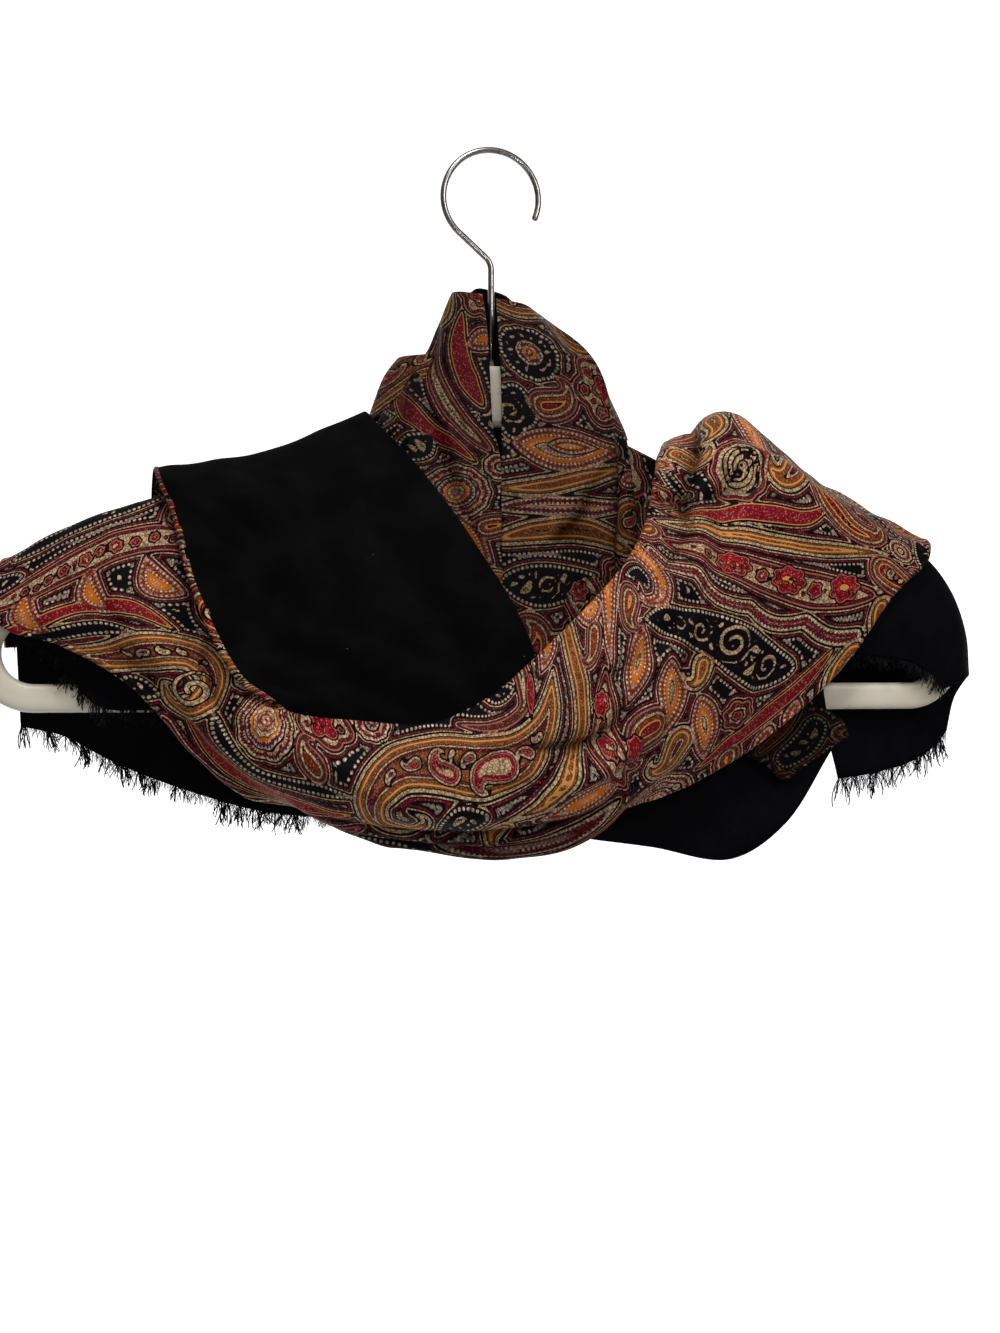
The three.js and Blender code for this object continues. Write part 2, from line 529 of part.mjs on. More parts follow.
function fringe({ hem, rows, steps, strands, length, lean }) {
  const stations = [];
  for (let i = 0; i <= steps; i++) {
    const place = THREE.MathUtils.lerp(rows[0], rows[1], i / steps);
    const point = hem(place, 0);
    const side = hem(place + 0.01, 0).sub(hem(place - 0.01, 0)).normalize();
    const down = point.clone().sub(hem(place, 0.03)).normalize();
    const out = new THREE.Vector3().crossVectors(side, down).normalize();
    stations.push({ point, side, down, out });
  }
  const rings = stations.map(({ point, down, out }) => {
    const corner = (reach, thick) => point.clone().addScaledVector(down, reach).addScaledVector(out, thick / 2);
    return [corner(STRIP.near, -STRIP.thick), corner(STRIP.near, STRIP.thick),
      corner(STRIP.far, STRIP.thick), corner(STRIP.far, -STRIP.thick)];
  });
  let solid = toSolid(joinRings(rings, false));
  for (let i = 0; i < strands; i++) {
    const place = (steps * (i + 0.2 + 0.6 * random())) / strands;
    const near = Math.floor(place);
    const between = (key) => stations[near][key].clone().lerp(stations[near + 1][key], place - near);
    const down = between('down').normalize();
    const side = between('side').normalize();
    const long = THREE.MathUtils.lerp(length[0], length[1], random() ** 1.4);
    const root = between('point').addScaledVector(down, STRIP.far - STRIP.root);
    const direction = down.clone().addScaledVector(side, 0.7 * (random() - 0.5) + lean).normalize();
    solid = solid.add(toSolid(strand(root, direction, side, long, 0.55)));
  }
  return fromSolid(solid);
}

// ---- the pieces ----

addPiece('hanger_body', hangerBody(), MATERIALS.plastic);
addPiece('hanger_hook', hangerHook(), MATERIALS.steel);

const leftEnd = loft(LEFT_END.map(armSection), SECTION);
const lowerTail = loft(LOWER_TAIL.map(armSection), SECTION);
const rightEnd = loft(RIGHT_END, RIGHT_END_COLUMNS);
const END_STEPS_PER_ROW = 2;
addPiece('left_end', clothWall(leftEnd, { rows: [0, 8], steps: [8 * END_STEPS_PER_ROW, 16] }), MATERIALS.wool);
addPiece('lower_tail', clothWall(lowerTail, { rows: [0, 4], steps: [8, 16] }), MATERIALS.wool);
addPiece('right_end', clothWall(rightEnd, { rows: [0, 5], steps: [5 * END_STEPS_PER_ROW, 14] }), MATERIALS.wool);

const band = loft(BAND, BAND_COLUMNS);
const bandStretches = [
  { name: 'left_sweep', rows: [0, SWEEP_ENDS - ROW_GAP], steps: [20, 10] },
  { name: 'front_swag', rows: [SWEEP_ENDS + ROW_GAP, SWAG_ENDS - ROW_GAP], steps: [16, 15] },
  { name: 'right_fan', rows: [SWAG_ENDS + ROW_GAP, BAND.length - 1], steps: [22, 15] },
];
for (const { name, rows, steps } of bandStretches) {
  addPiece(name, clothWall(band, { rows, steps, folds: BAND_FOLDS }), MATERIALS.print);
}

const flap = loft(FLAP, FLAP_COLUMNS);
addPiece('left_flap', clothWall(flap, { rows: [0, 9], steps: [22, 10], folds: FLAP_FOLDS }), MATERIALS.wool);

addPiece('collar', clothWall(cowlRing, { rows: COWL_RIM_ROWS, steps: [8, 30], folds: COLLAR_FOLDS }), MATERIALS.print);
addPiece('neck_left', clothWall(neckLeft, { rows: [COWL_FALL_ROWS[0], 7.2], steps: [9, 10],
  folds: NECK_LEFT_FOLDS }), MATERIALS.print);
addPiece('neck_right', clothWall(neckRight, { rows: COWL_FALL_ROWS, steps: [10, 10], folds: NECK_RIGHT_FOLDS }),
  MATERIALS.print);
addPiece('back_fall', clothWall(backFall, { rows: [0, 1], steps: [10, 14], folds: BACK_FOLDS }), MATERIALS.print);
addPiece('left_shoulder', clothWall(shoulder, { rows: [0, 2], steps: [5, 16] }), MATERIALS.print);

const corner = loft(cornerRows, ['high', 'low']);
addPiece('printed_corner', clothWall(corner, { rows: [0, 4], steps: [8, 5] }), MATERIALS.print);

const backHem = (sheet) => (row, up) => sheet(row, 1 - up);
const frontHem = (sheet) => (row, up) => sheet(row, up);
const fringes = [
  { name: 'fringe_left_back', hem: backHem(leftEnd), rows: [0, 8], strands: 42, length: [3, 8.5], lean: -0.15 },
  { name: 'fringe_left_front', hem: frontHem(leftEnd), rows: [1.5, 3.5], strands: 12, length: [2, 6], lean: -0.2 },
  { name: 'fringe_right_back', hem: backHem(rightEnd), rows: [0, 5], strands: 26, length: [4, 10], lean: -0.1 },
  { name: 'fringe_right_front', hem: frontHem(rightEnd), rows: [0, 5], strands: 20, length: [2, 6], lean: 0.1 },
];
for (const { name, rows, ...sizes } of fringes) {
  const steps = Math.round((rows[1] - rows[0]) * END_STEPS_PER_ROW);
  addPiece(name, fringe({ rows, steps, ...sizes }), MATERIALS.wool);
}

export default scarf;
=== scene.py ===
# A long scarf wound on a tubular coat hanger: the cloth as it hangs, its print, wool, fringe and hems.
# Sizes in the tables are millimetres, in the part's own frame; meshes are made in metres.
import math
import random

import bmesh
import bpy
import numpy as np
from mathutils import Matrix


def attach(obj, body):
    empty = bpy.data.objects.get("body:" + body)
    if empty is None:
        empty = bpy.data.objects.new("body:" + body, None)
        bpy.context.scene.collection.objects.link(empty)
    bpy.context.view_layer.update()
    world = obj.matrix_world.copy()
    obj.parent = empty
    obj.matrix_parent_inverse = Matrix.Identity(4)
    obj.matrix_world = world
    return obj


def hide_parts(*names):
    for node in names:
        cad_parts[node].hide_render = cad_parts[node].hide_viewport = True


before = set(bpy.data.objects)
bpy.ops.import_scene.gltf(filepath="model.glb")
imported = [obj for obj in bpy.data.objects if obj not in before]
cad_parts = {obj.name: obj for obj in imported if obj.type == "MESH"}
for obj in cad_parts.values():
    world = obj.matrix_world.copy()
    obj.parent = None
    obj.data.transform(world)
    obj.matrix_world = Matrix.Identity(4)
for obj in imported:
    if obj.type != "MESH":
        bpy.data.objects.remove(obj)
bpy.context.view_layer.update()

MM = 0.001

# ---- sizes of the hanger ----

BAR_Z, BAR_HIGH, BAR_DEEP = -237.3, 12.0, 8.0
END_TURN_X, END_TURN_RADIUS = 193.0, 19.0
ARM_SLOPE = math.radians(25.3)
NECK_TOP, NECK_BOTTOM, NECK_WIDE, NECK_DEEP, NECK_ROUND = -93.5, -119.0, 15.0, 10.0, 15.0
WIRE_RADIUS = 1.4
HOOK_RADIUS, HOOK_BEND_Z, HOOK_BEND_RADIUS = 21.0, -47.7, 3.5
HOOK_JOIN_ANGLE, HOOK_TIP_ANGLE = 232.0, -22.0

ARM_TURN = 90 - math.degrees(ARM_SLOPE)
TURN_Z = BAR_Z + END_TURN_RADIUS
ARM_END_X = END_TURN_X + END_TURN_RADIUS * math.cos(math.radians(ARM_TURN))
ARM_END_Z = TURN_Z + END_TURN_RADIUS * math.sin(math.radians(ARM_TURN))
PEAK_Z = ARM_END_Z + ARM_END_X * math.tan(ARM_SLOPE)


def arm_top(x):
    return PEAK_Z + 0.5 * BAR_HIGH / math.cos(ARM_SLOPE) - abs(x) * math.tan(ARM_SLOPE)


# ---- smooth curves and sheets through tables ----

def spline(points, places):
    """Centripetal curve through the points along the last axis but one, at places from 0 to 1."""
    points = np.asarray(points, float)
    count = points.shape[-2]
    before = 2 * points[..., :1, :] - points[..., 1:2, :]
    after = 2 * points[..., -1:, :] - points[..., -2:-1, :]
    ends = np.concatenate([before, points, after], axis=-2)
    knots = np.sqrt(np.linalg.norm(np.diff(ends, axis=-2), axis=-1))
    place = np.clip(np.asarray(places, float), 0, 1) * (count - 1)
    piece = np.minimum(place.astype(int), count - 2)
    part = (place - piece)[:, None]
    p0, p1, p2, p3 = (ends[..., piece + k, :] for k in range(4))
    d0, d1, d2 = (knots[..., piece + k, None] for k in range(3))
    leave = ((p1 - p0) / d0 - (p2 - p0) / (d0 + d1) + (p2 - p1) / d1) * d1
    arrive = ((p2 - p1) / d1 - (p3 - p1) / (d1 + d2) + (p3 - p2) / d2) * d1
    square = -3 * p1 + 3 * p2 - 2 * leave - arrive
    cube = 2 * p1 - 2 * p2 + leave + arrive
    return p1 + leave * part + square * part ** 2 + cube * part ** 3


def loft(table, columns):
    """A sheet through a table's sections, as a function of rows and places across."""
    points = np.array([[row[column] for row in table] for column in columns], float)

    def sheet(rows, across):
        lines = spline(points, np.asarray(rows) / (len(table) - 1))
        return spline(np.swapaxes(lines, 0, 1), across)
    return sheet


def row_values(table, column, rows):
    """One column of a ring table at rows that need not be whole numbers."""
    values = np.array([row[column] for row in table], float)
    last = len(values) - 1
    place = np.clip(rows, 0, last)
    piece = np.minimum(np.floor(place).astype(int), last - 1)
    part = place - piece
    p0, p1, p2, p3 = (values[np.clip(piece + k, 0, last)] for k in (-1, 0, 1, 2))
    leave, arrive = (p2 - p0) / 2, (p3 - p1) / 2
    return ((2 * p1 - 2 * p2 + leave + arrive) * part ** 3
            + (-3 * p1 + 3 * p2 - 2 * leave - arrive) * part ** 2 + leave * part + p1)


def ring_points(table, rows, turns):
    """Points on the rings of a table; turn 0 is the front, positive towards the right."""
    value = {name: row_values(table, name, rows) for name in
             ("left", "right", "front", "back", "leftZ", "rightZ")}
    x = (value["right"] + value["left"]) / 2 + (value["right"] - value["left"]) / 2 * np.sin(turns)
    y = (value["back"] + value["front"]) / 2 - (value["back"] - value["front"]) / 2 * np.cos(turns)
    z = value["leftZ"] + (value["rightZ"] - value["leftZ"]) * (0.5 + 0.5 * np.sin(turns))
    return np.stack([x, y, z], axis=-1)


def slit_turn(table, rows, column):
    left, right = row_values(table, "left", rows), row_values(table, "right", rows)
    x = row_values(table, column, rows)
    return np.arcsin((x - (right + left) / 2) / ((right - left) / 2))


def normals_of(grid):
    along = np.gradient(grid, axis=0)
    across = np.gradient(grid, axis=1)
    normal = np.cross(across, along)
    return normal / np.maximum(np.linalg.norm(normal, axis=-1, keepdims=True), 1e-9)


# ---- folds: soft ridges and troughs on curves through three places ----

CREASE_WIDE = 4.4                    # narrower folds have a sharp line along them
SHARP_FALL, SOFT_FALL = 1.25, 2      # how a narrow and a wide fold fall off to their sides
FOLD_STEPS = 24


def fold_line(place_on, fold):
    """The points of a fold's curve on the sheet; the curve goes through the middle place halfway."""
    part = np.linspace(0, 1, FOLD_STEPS + 1)[:, None]
    start, middle, end = (np.array(place, float) for place in fold[:3])
    places = ((1 - part) * (1 - 2 * part) * start + 4 * part * (1 - part) * middle
              + part * (2 * part - 1) * end)
    return np.array([place_on(row, across) for row, across in places])


def fold_heights(grid, place_on, folds):
    """The height of all folds at each point of a grid; each fades out towards its two ends."""
    points = grid.reshape(-1, 3)
    height = np.zeros(len(points))
    for fold in folds:
        line = fold_line(place_on, fold)
        tall, wide = fold[3:]
        reach = 3 * wide
        in_reach = (points > line.min(0) - reach) & (points < line.max(0) + reach)
        near = np.nonzero(in_reach.all(1))[0]
        if not len(near):
            continue
        start, step = line[:-1], np.diff(line, axis=0)
        offset = points[near, None] - start
        part = np.clip((offset * step).sum(-1) / (step ** 2).sum(-1), 0, 1)
        away = np.linalg.norm(offset - part[..., None] * step, axis=-1)
        nearest = away.argmin(1)
        pick = np.arange(len(near))
        along = (nearest + part[pick, nearest]) / len(step)
        fall = SHARP_FALL if wide < CREASE_WIDE else SOFT_FALL
        fade = np.sin(np.pi * (0.08 + 0.84 * along))
        height[near] += tall * np.exp(-(away[pick, nearest] / wide) ** fall) * fade
    return height.reshape(grid.shape[:2])


WAVES, WAVE_STRETCH = 5, 3.0         # waves laid over each other, and how much longer they are one way


def ripples(flat, seed, length, height, slant=0.0):
    """Shallow uneven waves in flat cloth coordinates, longer one way than the other."""
    draw = random.Random(seed)
    total = np.zeros(flat.shape[:2])
    for _ in range(WAVES):
        size = length * draw.uniform(0.6, 1.7)
        angle = slant + draw.uniform(-0.5, 0.5)
        cross = -math.sin(angle) * flat[..., 0] + math.cos(angle) * flat[..., 1]
        down = math.cos(angle) * flat[..., 0] + math.sin(angle) * flat[..., 1]
        sway = 0.8 * np.sin(2 * np.pi * down / (size * WAVE_STRETCH) + draw.uniform(0, 6.3))
        gate = 0.5 + 0.5 * np.sin(2 * np.pi * down / (size * WAVE_STRETCH * 1.7) + draw.uniform(0, 6.3))
        total += gate * np.sin(2 * np.pi * cross / size + sway + draw.uniform(0, 6.3))
    return height * total / WAVES


# ---- the print: motifs with outlines worked out from their own sizes, in flat cloth millimetres ----

GOLD, LEAF, CRESCENT, NIGHT, CREAM, PLUM, AMBER = range(7)     # finishes of the large motifs
MEDALLION, PETAL, FLOWER, PALE, CURL, SPRAY = range(6)         # finishes of the medium motifs
BUD, SEED = range(2)                                           # finishes of the small motifs
DOT_PITCH = 2.1                                                # from one printed dot to the next


def sides_of(line):
    """The direction to the side of a flat line at each of its points."""
    along = np.gradient(line, axis=0)
    along /= np.maximum(np.linalg.norm(along, axis=1, keepdims=True), 1e-9)
    return np.stack([-along[:, 1], along[:, 0]], axis=1)


def ribbon(points, widths, ends=6.0, steps=56):
    """The outline of a stripe along a smooth line; widths are spread evenly along it."""
    part = np.linspace(0, 1, steps)
    line = spline(points, part)
    side = sides_of(line)
    half = 0.5 * np.interp(part, np.linspace(0, 1, len(widths)), widths)
    half *= np.sqrt(np.clip(1 - np.abs(2 * part - 1) ** ends, 0, 1))
    return np.concatenate([line + side * half[:, None], (line - side * half[:, None])[::-1]])


BOTEH_BEND, BOTEH_BODY, BOTEH_CURL = 4.4, 0.27, 2.2


def boteh(size, bend=BOTEH_BEND):
    """A drop with a round foot and a tip that curls over."""
    part = np.linspace(0, 1, 44)
    heading = math.pi / 2 - bend * part ** BOTEH_CURL
    line = np.cumsum(np.stack([np.cos(heading), np.sin(heading)], 1), axis=0) * size / len(part)
    side = np.stack([-np.sin(heading), np.cos(heading)], 1)
    half = BOTEH_BODY * size * (1 - part) ** 0.85 * (1 + 0.3 * np.sin(np.pi * part))
    foot = math.pi + np.linspace(0, math.pi, 16)[1:-1]
    round_foot = line[0] + BOTEH_BODY * size * np.stack([np.cos(foot), np.sin(foot)], 1)
    outline = np.concatenate([line - side * half[:, None], (line + side * half[:, None])[::-1], round_foot])
    return outline - line[len(part) // 4]


def leaf(length, width, lean=0.0):
    """A lens with two points, bowed to one side by the lean."""
    part = np.linspace(0, 1, 26)
    y = length * (part - 0.5)
    bow = lean * np.sin(np.pi * part)
    half = 0.5 * width * np.sin(np.pi * part ** 0.8) ** 0.9
    return np.concatenate([np.stack([bow + half, y], 1), np.stack([bow - half, y], 1)[::-1][1:-1]])


def lobed(radius, lobes, depth, wide=1.0):
    """A rosette: a disc or an oval with round lobes."""
    turn = np.linspace(0, 2 * math.pi, 12 * lobes + 12, endpoint=False)
    reach = radius * (1 - depth + depth * np.abs(np.cos(lobes * turn / 2)))
    return np.stack([wide * reach * np.cos(turn), reach * np.sin(turn)], 1)


def swirl(radius, turns, width):
    """A stripe that winds outwards in a spiral."""
    part = np.linspace(0, 1, 9 + int(12 * turns))
    angle = 2 * math.pi * turns * part
    reach = radius * (0.12 + 0.88 * part)
    line = np.stack([reach * np.cos(angle), reach * np.sin(angle)], 1)
    return ribbon(line, (0.7 * width, width, 0.5 * width), ends=10.0, steps=40 + int(24 * turns))


def scallops(points, arcs, rise, width):
    """A stripe that goes along a line in arcs."""
    part = np.linspace(0, 1, 12 * arcs + 1)
    line = spline(points, part)
    line = line + sides_of(line) * rise * np.abs(np.sin(np.pi * arcs * part))[:, None]
    return ribbon(line, (width, width), ends=30.0, steps=24 * arcs)


def placed(outline, x, y, degrees=0.0, flip=1):
    angle = math.radians(degrees)
    across, along = flip * outline[:, 0], outline[:, 1]
    return np.stack([x + across * math.cos(angle) - along * math.sin(angle),
                     y + across * math.sin(angle) + along * math.cos(angle)], 1)


def outline_field(places, outline):
    """Distance to an outline, negative inside it, and how far round it the nearest place lies, in dots."""
    step = np.roll(outline, -1, axis=0) - outline
    length = np.maximum(np.linalg.norm(step, axis=1), 1e-6)
    offset = places[:, None] - outline
    part = np.clip((offset * step).sum(-1) / length ** 2, 0, 1)
    away = np.linalg.norm(offset - part[..., None] * step, axis=-1)
    nearest = away.argmin(1)
    pick = np.arange(len(places))
    before = np.concatenate([[0], np.cumsum(length)[:-1]])
    dots = max(round(length.sum() / DOT_PITCH), 1)
    arc_place = (before[nearest] + part[pick, nearest] * length[nearest]) / length.sum() * dots
    low, high = outline[:, 1], outline[:, 1] + step[:, 1]
    y = places[:, 1:]
    turn = step[:, 0] * offset[..., 1] - step[:, 1] * offset[..., 0]
    upward = (low <= y) & (high > y) & (turn > 0)
    downward = (low > y) & (high <= y) & (turn < 0)
    winding = upward.sum(1) - downward.sum(1)
    return np.where(winding != 0, -1, 1) * away[pick, nearest], arc_place


FAR = 30.0                           # the distance where there is no motif near, in mm
FIELD_REACH, FILL_REACH = 10.0, 14   # how far from a motif its distance is worked out


def motif_field(places, motifs, reach=FIELD_REACH):
    """For each place: distance to the nearest motif, place along its outline, and its finish."""
    best = np.full((len(places), 3), (FAR, 0.0, 0.0))
    order = np.argsort(places[:, 0], kind="stable")
    sorted_u = places[order, 0]
    for finish, outline in motifs:
        low, high = outline.min(0) - reach, outline.max(0) + reach
        span = order[np.searchsorted(sorted_u, low[0]):np.searchsorted(sorted_u, high[0])]
        near = span[(places[span, 1] > low[1]) & (places[span, 1] < high[1])]
        if not len(near):
            continue
        distance, arc_place = outline_field(places[near], outline)
        better = distance < best[near, 0]
        best[near[better]] = np.stack([distance, arc_place, np.full(len(near), finish)], 1)[better]
    return best


def fill(canvas, clear, make, least, count, draw):
    """Motifs put one after another where most room is left."""
    made = []
    wobble = np.array([draw.random() for _ in range(len(canvas))])
    for _ in range(count):
        spot = int((clear * (0.75 + 0.25 * wobble)).argmax())
        if clear[spot] < least:
            break
        finish, outline = make(spot, clear[spot])
        outline = outline + canvas[spot]
        made.append((finish, outline))
        low, high = outline.min(0) - FILL_REACH, outline.max(0) + FILL_REACH
        near = np.nonzero(((canvas > low) & (canvas < high)).all(1))[0]
        distance, _ = outline_field(canvas[near], outline)
        clear[near] = np.minimum(clear[near], np.where(distance < 0, 0, distance))
        clear[spot] = 0
    return made


MOST_LARGE, MOST_MEDIUM, MOST_SMALL = 19, 8.0, 2.2      # the most room that a motif of each layer takes


def large_motif(draw, room, flow):
    """A large motif for a place with so much room round it, turned roughly with the print's flow."""
    finish = draw.choice((GOLD, AMBER, LEAF, PLUM, NIGHT, CREAM, GOLD, AMBER))
    angle = flow + draw.uniform(-50, 50)
    flip = draw.choice((-1, 1))
    room = min(room, MOST_LARGE)
    if finish in (GOLD, AMBER):
        return finish, placed(boteh(2.75 * room, draw.uniform(3.8, 4.8)), 0, 0, angle, flip)
    if finish in (LEAF, NIGHT):
        lean = (0.15 if finish == LEAF else 0.35) * room
        return finish, placed(leaf(2.2 * room, 1.2 * room, lean), 0, 0, angle, flip)
    if finish == PLUM:
        return finish, placed(lobed(0.92 * room, draw.choice((8, 10)), 0.07), 0, 0, angle)
    return finish, placed(lobed(0.92 * room, 6, 0.18), 0, 0, angle)


def medium_motif(draw, room, ground, flow):
    """A medium motif that suits the finish it lies on."""
    angle = draw.uniform(0, 360)
    flip = draw.choice((-1, 1))
    lean = flow + draw.uniform(-60, 60)
    room = min(room, MOST_MEDIUM) * 0.94
    if ground == NIGHT:
        if room > 4.6:
            return CURL, placed(swirl(room, 1.7, 0.3 * room), 0, 0, angle, flip)
        return SPRAY, placed(leaf(2.1 * room, 0.95 * room, 0.3 * room), 0, 0, angle, flip)
    if ground == CREAM:
        return FLOWER, placed(lobed(room, draw.choice((5, 6, 7)), 0.3), 0, 0, angle)
    if ground == LEAF:
        return PETAL, placed(leaf(2.2 * room, 1.2 * room, 0.2 * room), 0, 0, lean, flip)
    if ground == PLUM:
        return MEDALLION, placed(lobed(room, 8, 0.05), 0, 0, angle)
    return PALE, placed(boteh(2.5 * room, 4.2), 0, 0, lean, flip)


def small_motif(draw, room, ground):
    """A small bud or seed."""
    room = min(room, MOST_SMALL) * 0.85
    angle = draw.uniform(0, 360)
    if ground == CREAM and draw.random() < 0.6:
        return BUD, placed(lobed(room, 5, 0.25), 0, 0, angle)
    return SEED, placed(leaf(2.3 * room, 1.1 * room), 0, 0, angle)


# How deep the bands along an outline reach, where no smaller motif goes.
BANDS_REACH = {GOLD: 6.4, LEAF: 6.6, CRESCENT: FAR, NIGHT: 2.4, CREAM: 3.0, PLUM: 4.4, AMBER: 6.4}
GROUND_REACH = 4.3
CANVAS_STEP = 1.6
LEAST_LARGE, LEAST_MEDIUM, LEAST_SMALL = 6.5, 1.9, 1.1  # the least room that each layer's fill goes on with
LARGE_COUNT, MEDIUM_COUNT, SMALL_COUNT = 150, 900, 1500


def printed(flat, seed, large=(), medium=(), flow=0.0):
    """The three layers of the print at each point of a grid, from the given motifs first and then filled."""
    draw = random.Random(seed)
    places = flat[..., :2].reshape(-1, 2)
    cells = np.unique(np.round(places / CANVAS_STEP).astype(int), axis=0)
    canvas = cells * CANVAS_STEP
    large, medium = list(large), list(medium)
    distance = motif_field(canvas, large, FAR)[:, 0]
    clear = np.where(distance < 0, 0, distance)
    large += fill(canvas, clear, lambda spot, room: large_motif(draw, room, flow),
                  LEAST_LARGE, LARGE_COUNT, draw)
    ground = motif_field(canvas, large, FAR)
    inside = ground[:, 0] < 0
    finish = np.where(inside, ground[:, 2], NIGHT)
    band_reach = np.array([BANDS_REACH[kind] for kind in range(7)])[ground[:, 2].astype(int)]
    reach = np.where(inside, band_reach, GROUND_REACH)
    room_left = np.abs(ground[:, 0]) - reach
    clear = np.minimum(room_left, np.abs(motif_field(canvas, medium, FAR)[:, 0]))
    medium += fill(canvas, clear, lambda spot, room: medium_motif(draw, room, finish[spot], flow),
                   LEAST_MEDIUM, MEDIUM_COUNT, draw)
    over = np.abs(motif_field(canvas, medium, FAR)[:, 0])
    clear = np.where(np.isin(finish, (NIGHT, CREAM)), np.minimum(room_left, over), 0) * (0.6 + 0.4 * inside)
    small = fill(canvas, clear, lambda spot, room: small_motif(draw, room, finish[spot]),
                 LEAST_SMALL, SMALL_COUNT, draw)
    layers = {"large": large, "medium": medium, "small": small}
    return {name: motif_field(places, motifs).reshape(*flat.shape[:2], 3)
            for name, motifs in layers.items()}


# ---- cloth as thin shells with two faces and a soft rim ----

CLOTH_THICK = 1.0
RIM_BULGE = 0.25                     # how far the soft rim stands out past the two faces


def flat_places(grid, along_at, across_at):
    """Each point's place in the flat cloth: length along one column, and length across each row."""
    along = np.linalg.norm(np.diff(grid[:, along_at], axis=0), axis=1)
    u = np.concatenate([[0], np.cumsum(along)])
    steps = np.linalg.norm(np.diff(grid, axis=1), axis=2)
    v = np.concatenate([np.zeros((len(grid), 1)), np.cumsum(steps, axis=1)], axis=1)
    v -= v[:, across_at:across_at + 1]
    return np.stack([np.repeat(u[:, None], grid.shape[1], axis=1), v], axis=-1)


def shell(name, grid, flat, patterns, keep=None, hem=None):
    """A closed sheet of cloth round a grid of points. Outer faces and rim take the first material, inner
    faces and the outer faces of the hem the second."""
    rows, columns = grid.shape[:2]
    if keep is None:
        keep = np.ones((rows - 1, columns - 1), bool)
    at = np.arange(rows * columns).reshape(rows, columns)
    cells = np.stack([at[:-1, :-1], at[:-1, 1:], at[1:, 1:], at[1:, :-1]], axis=-1)[keep]
    edges = np.concatenate([cells[:, [k, (k + 1) % 4]] for k in range(4)])
    forward = edges[:, 0].astype(np.int64) * rows * columns + edges[:, 1]
    backward = edges[:, 1].astype(np.int64) * rows * columns + edges[:, 0]
    border = edges[~np.isin(forward, backward)]

    middle, out = grid.reshape(-1, 3), normals_of(grid).reshape(-1, 3)
    used = np.zeros(len(middle), bool)
    used[cells.ravel()] = True
    renumber = np.cumsum(used) - 1
    push = np.zeros_like(middle)
    away = np.cross(middle[border[:, 1]] - middle[border[:, 0]], out[border[:, 0]])
    np.add.at(push, border[:, 0], away)
    np.add.at(push, border[:, 1], away)
    rim = np.unique(border)
    push = push[rim] / np.maximum(np.linalg.norm(push[rim], axis=1, keepdims=True), 1e-9)
    rim_number = np.full(len(middle), -1)
    rim_number[rim] = np.arange(len(rim))

    count = used.sum()
    lift = out[used] * CLOTH_THICK / 2
    points = np.concatenate([middle[used] + lift, middle[used] - lift, middle[rim] + push * RIM_BULGE])
    cells = renumber[cells]
    a, b = renumber[border].T
    rim_a, rim_b = (rim_number[border] + 2 * count).T
    faces = np.concatenate([cells, np.stack([b, a, rim_a, rim_b], 1),
                            np.stack([rim_b, rim_a, a + count, b + count], 1), cells[:, ::-1] + count])
    slots = np.zeros(len(faces), int)
    slots[len(faces) - len(cells):] = 1
    if hem is not None:
        slots[:len(cells)][hem[keep]] = 1
    obj = mesh_object(name, points * MM, faces, slots)

    for key, values in {"cloth": flat, **patterns}.items():
        values = values.reshape(-1, 3)
        add_attribute(obj, key, np.concatenate([values[used], values[used], values[rim]]))
    return obj


def add_attribute(obj, name, values):
    attribute = obj.data.attributes.new(name, "FLOAT_VECTOR", "POINT")
    attribute.data.foreach_set("vector", np.asarray(values, np.float32).ravel())


def mesh_object(name, points, faces, slots=None):
    """A smooth mesh of four-sided faces at the origin."""
    mesh = bpy.data.meshes.new(name)
    faces = np.asarray(faces)
    mesh.vertices.add(len(points))
    mesh.vertices.foreach_set("co", np.asarray(points, np.float32).ravel())
    mesh.loops.add(faces.size)
    mesh.loops.foreach_set("vertex_index", faces.astype(np.int32).ravel())
    mesh.polygons.add(len(faces))
    loop_starts = np.arange(0, faces.size, faces.shape[1], dtype=np.int32)
    mesh.polygons.foreach_set("loop_start", loop_starts)
    mesh.update(calc_edges=True)
    mesh.polygons.foreach_set("use_smooth", np.ones(len(faces), bool))
    if slots is not None:
        mesh.polygons.foreach_set("material_index", np.asarray(slots, np.int32))
    mesh.validate()
    mesh.update()
    obj = bpy.data.objects.new(name, mesh)
    bpy.context.scene.collection.objects.link(obj)
    return obj


def finish_with(obj, *materials):
    for material in materials:
        obj.data.materials.append(material)


# ---- material maths ----

def operator(operation, swapped=False):
    """A method that adds a math node to the tree; swapped puts the other value first."""
    def apply(self, other):
        values = (other, self) if swapped else (self, other)
        return self.nodes.math(operation, *values)
    return apply


class Value:
    """A socket of a node tree that takes part in arithmetic."""

    def __init__(self, nodes, output):
        self.nodes = nodes
        self.output = output

    __add__ = __radd__ = operator("ADD")
    __sub__ = operator("SUBTRACT")
    __rsub__ = operator("SUBTRACT", swapped=True)
    __mul__ = __rmul__ = operator("MULTIPLY")
    __truediv__ = operator("DIVIDE")
    __lt__ = operator("LESS_THAN")
    __gt__ = operator("GREATER_THAN")


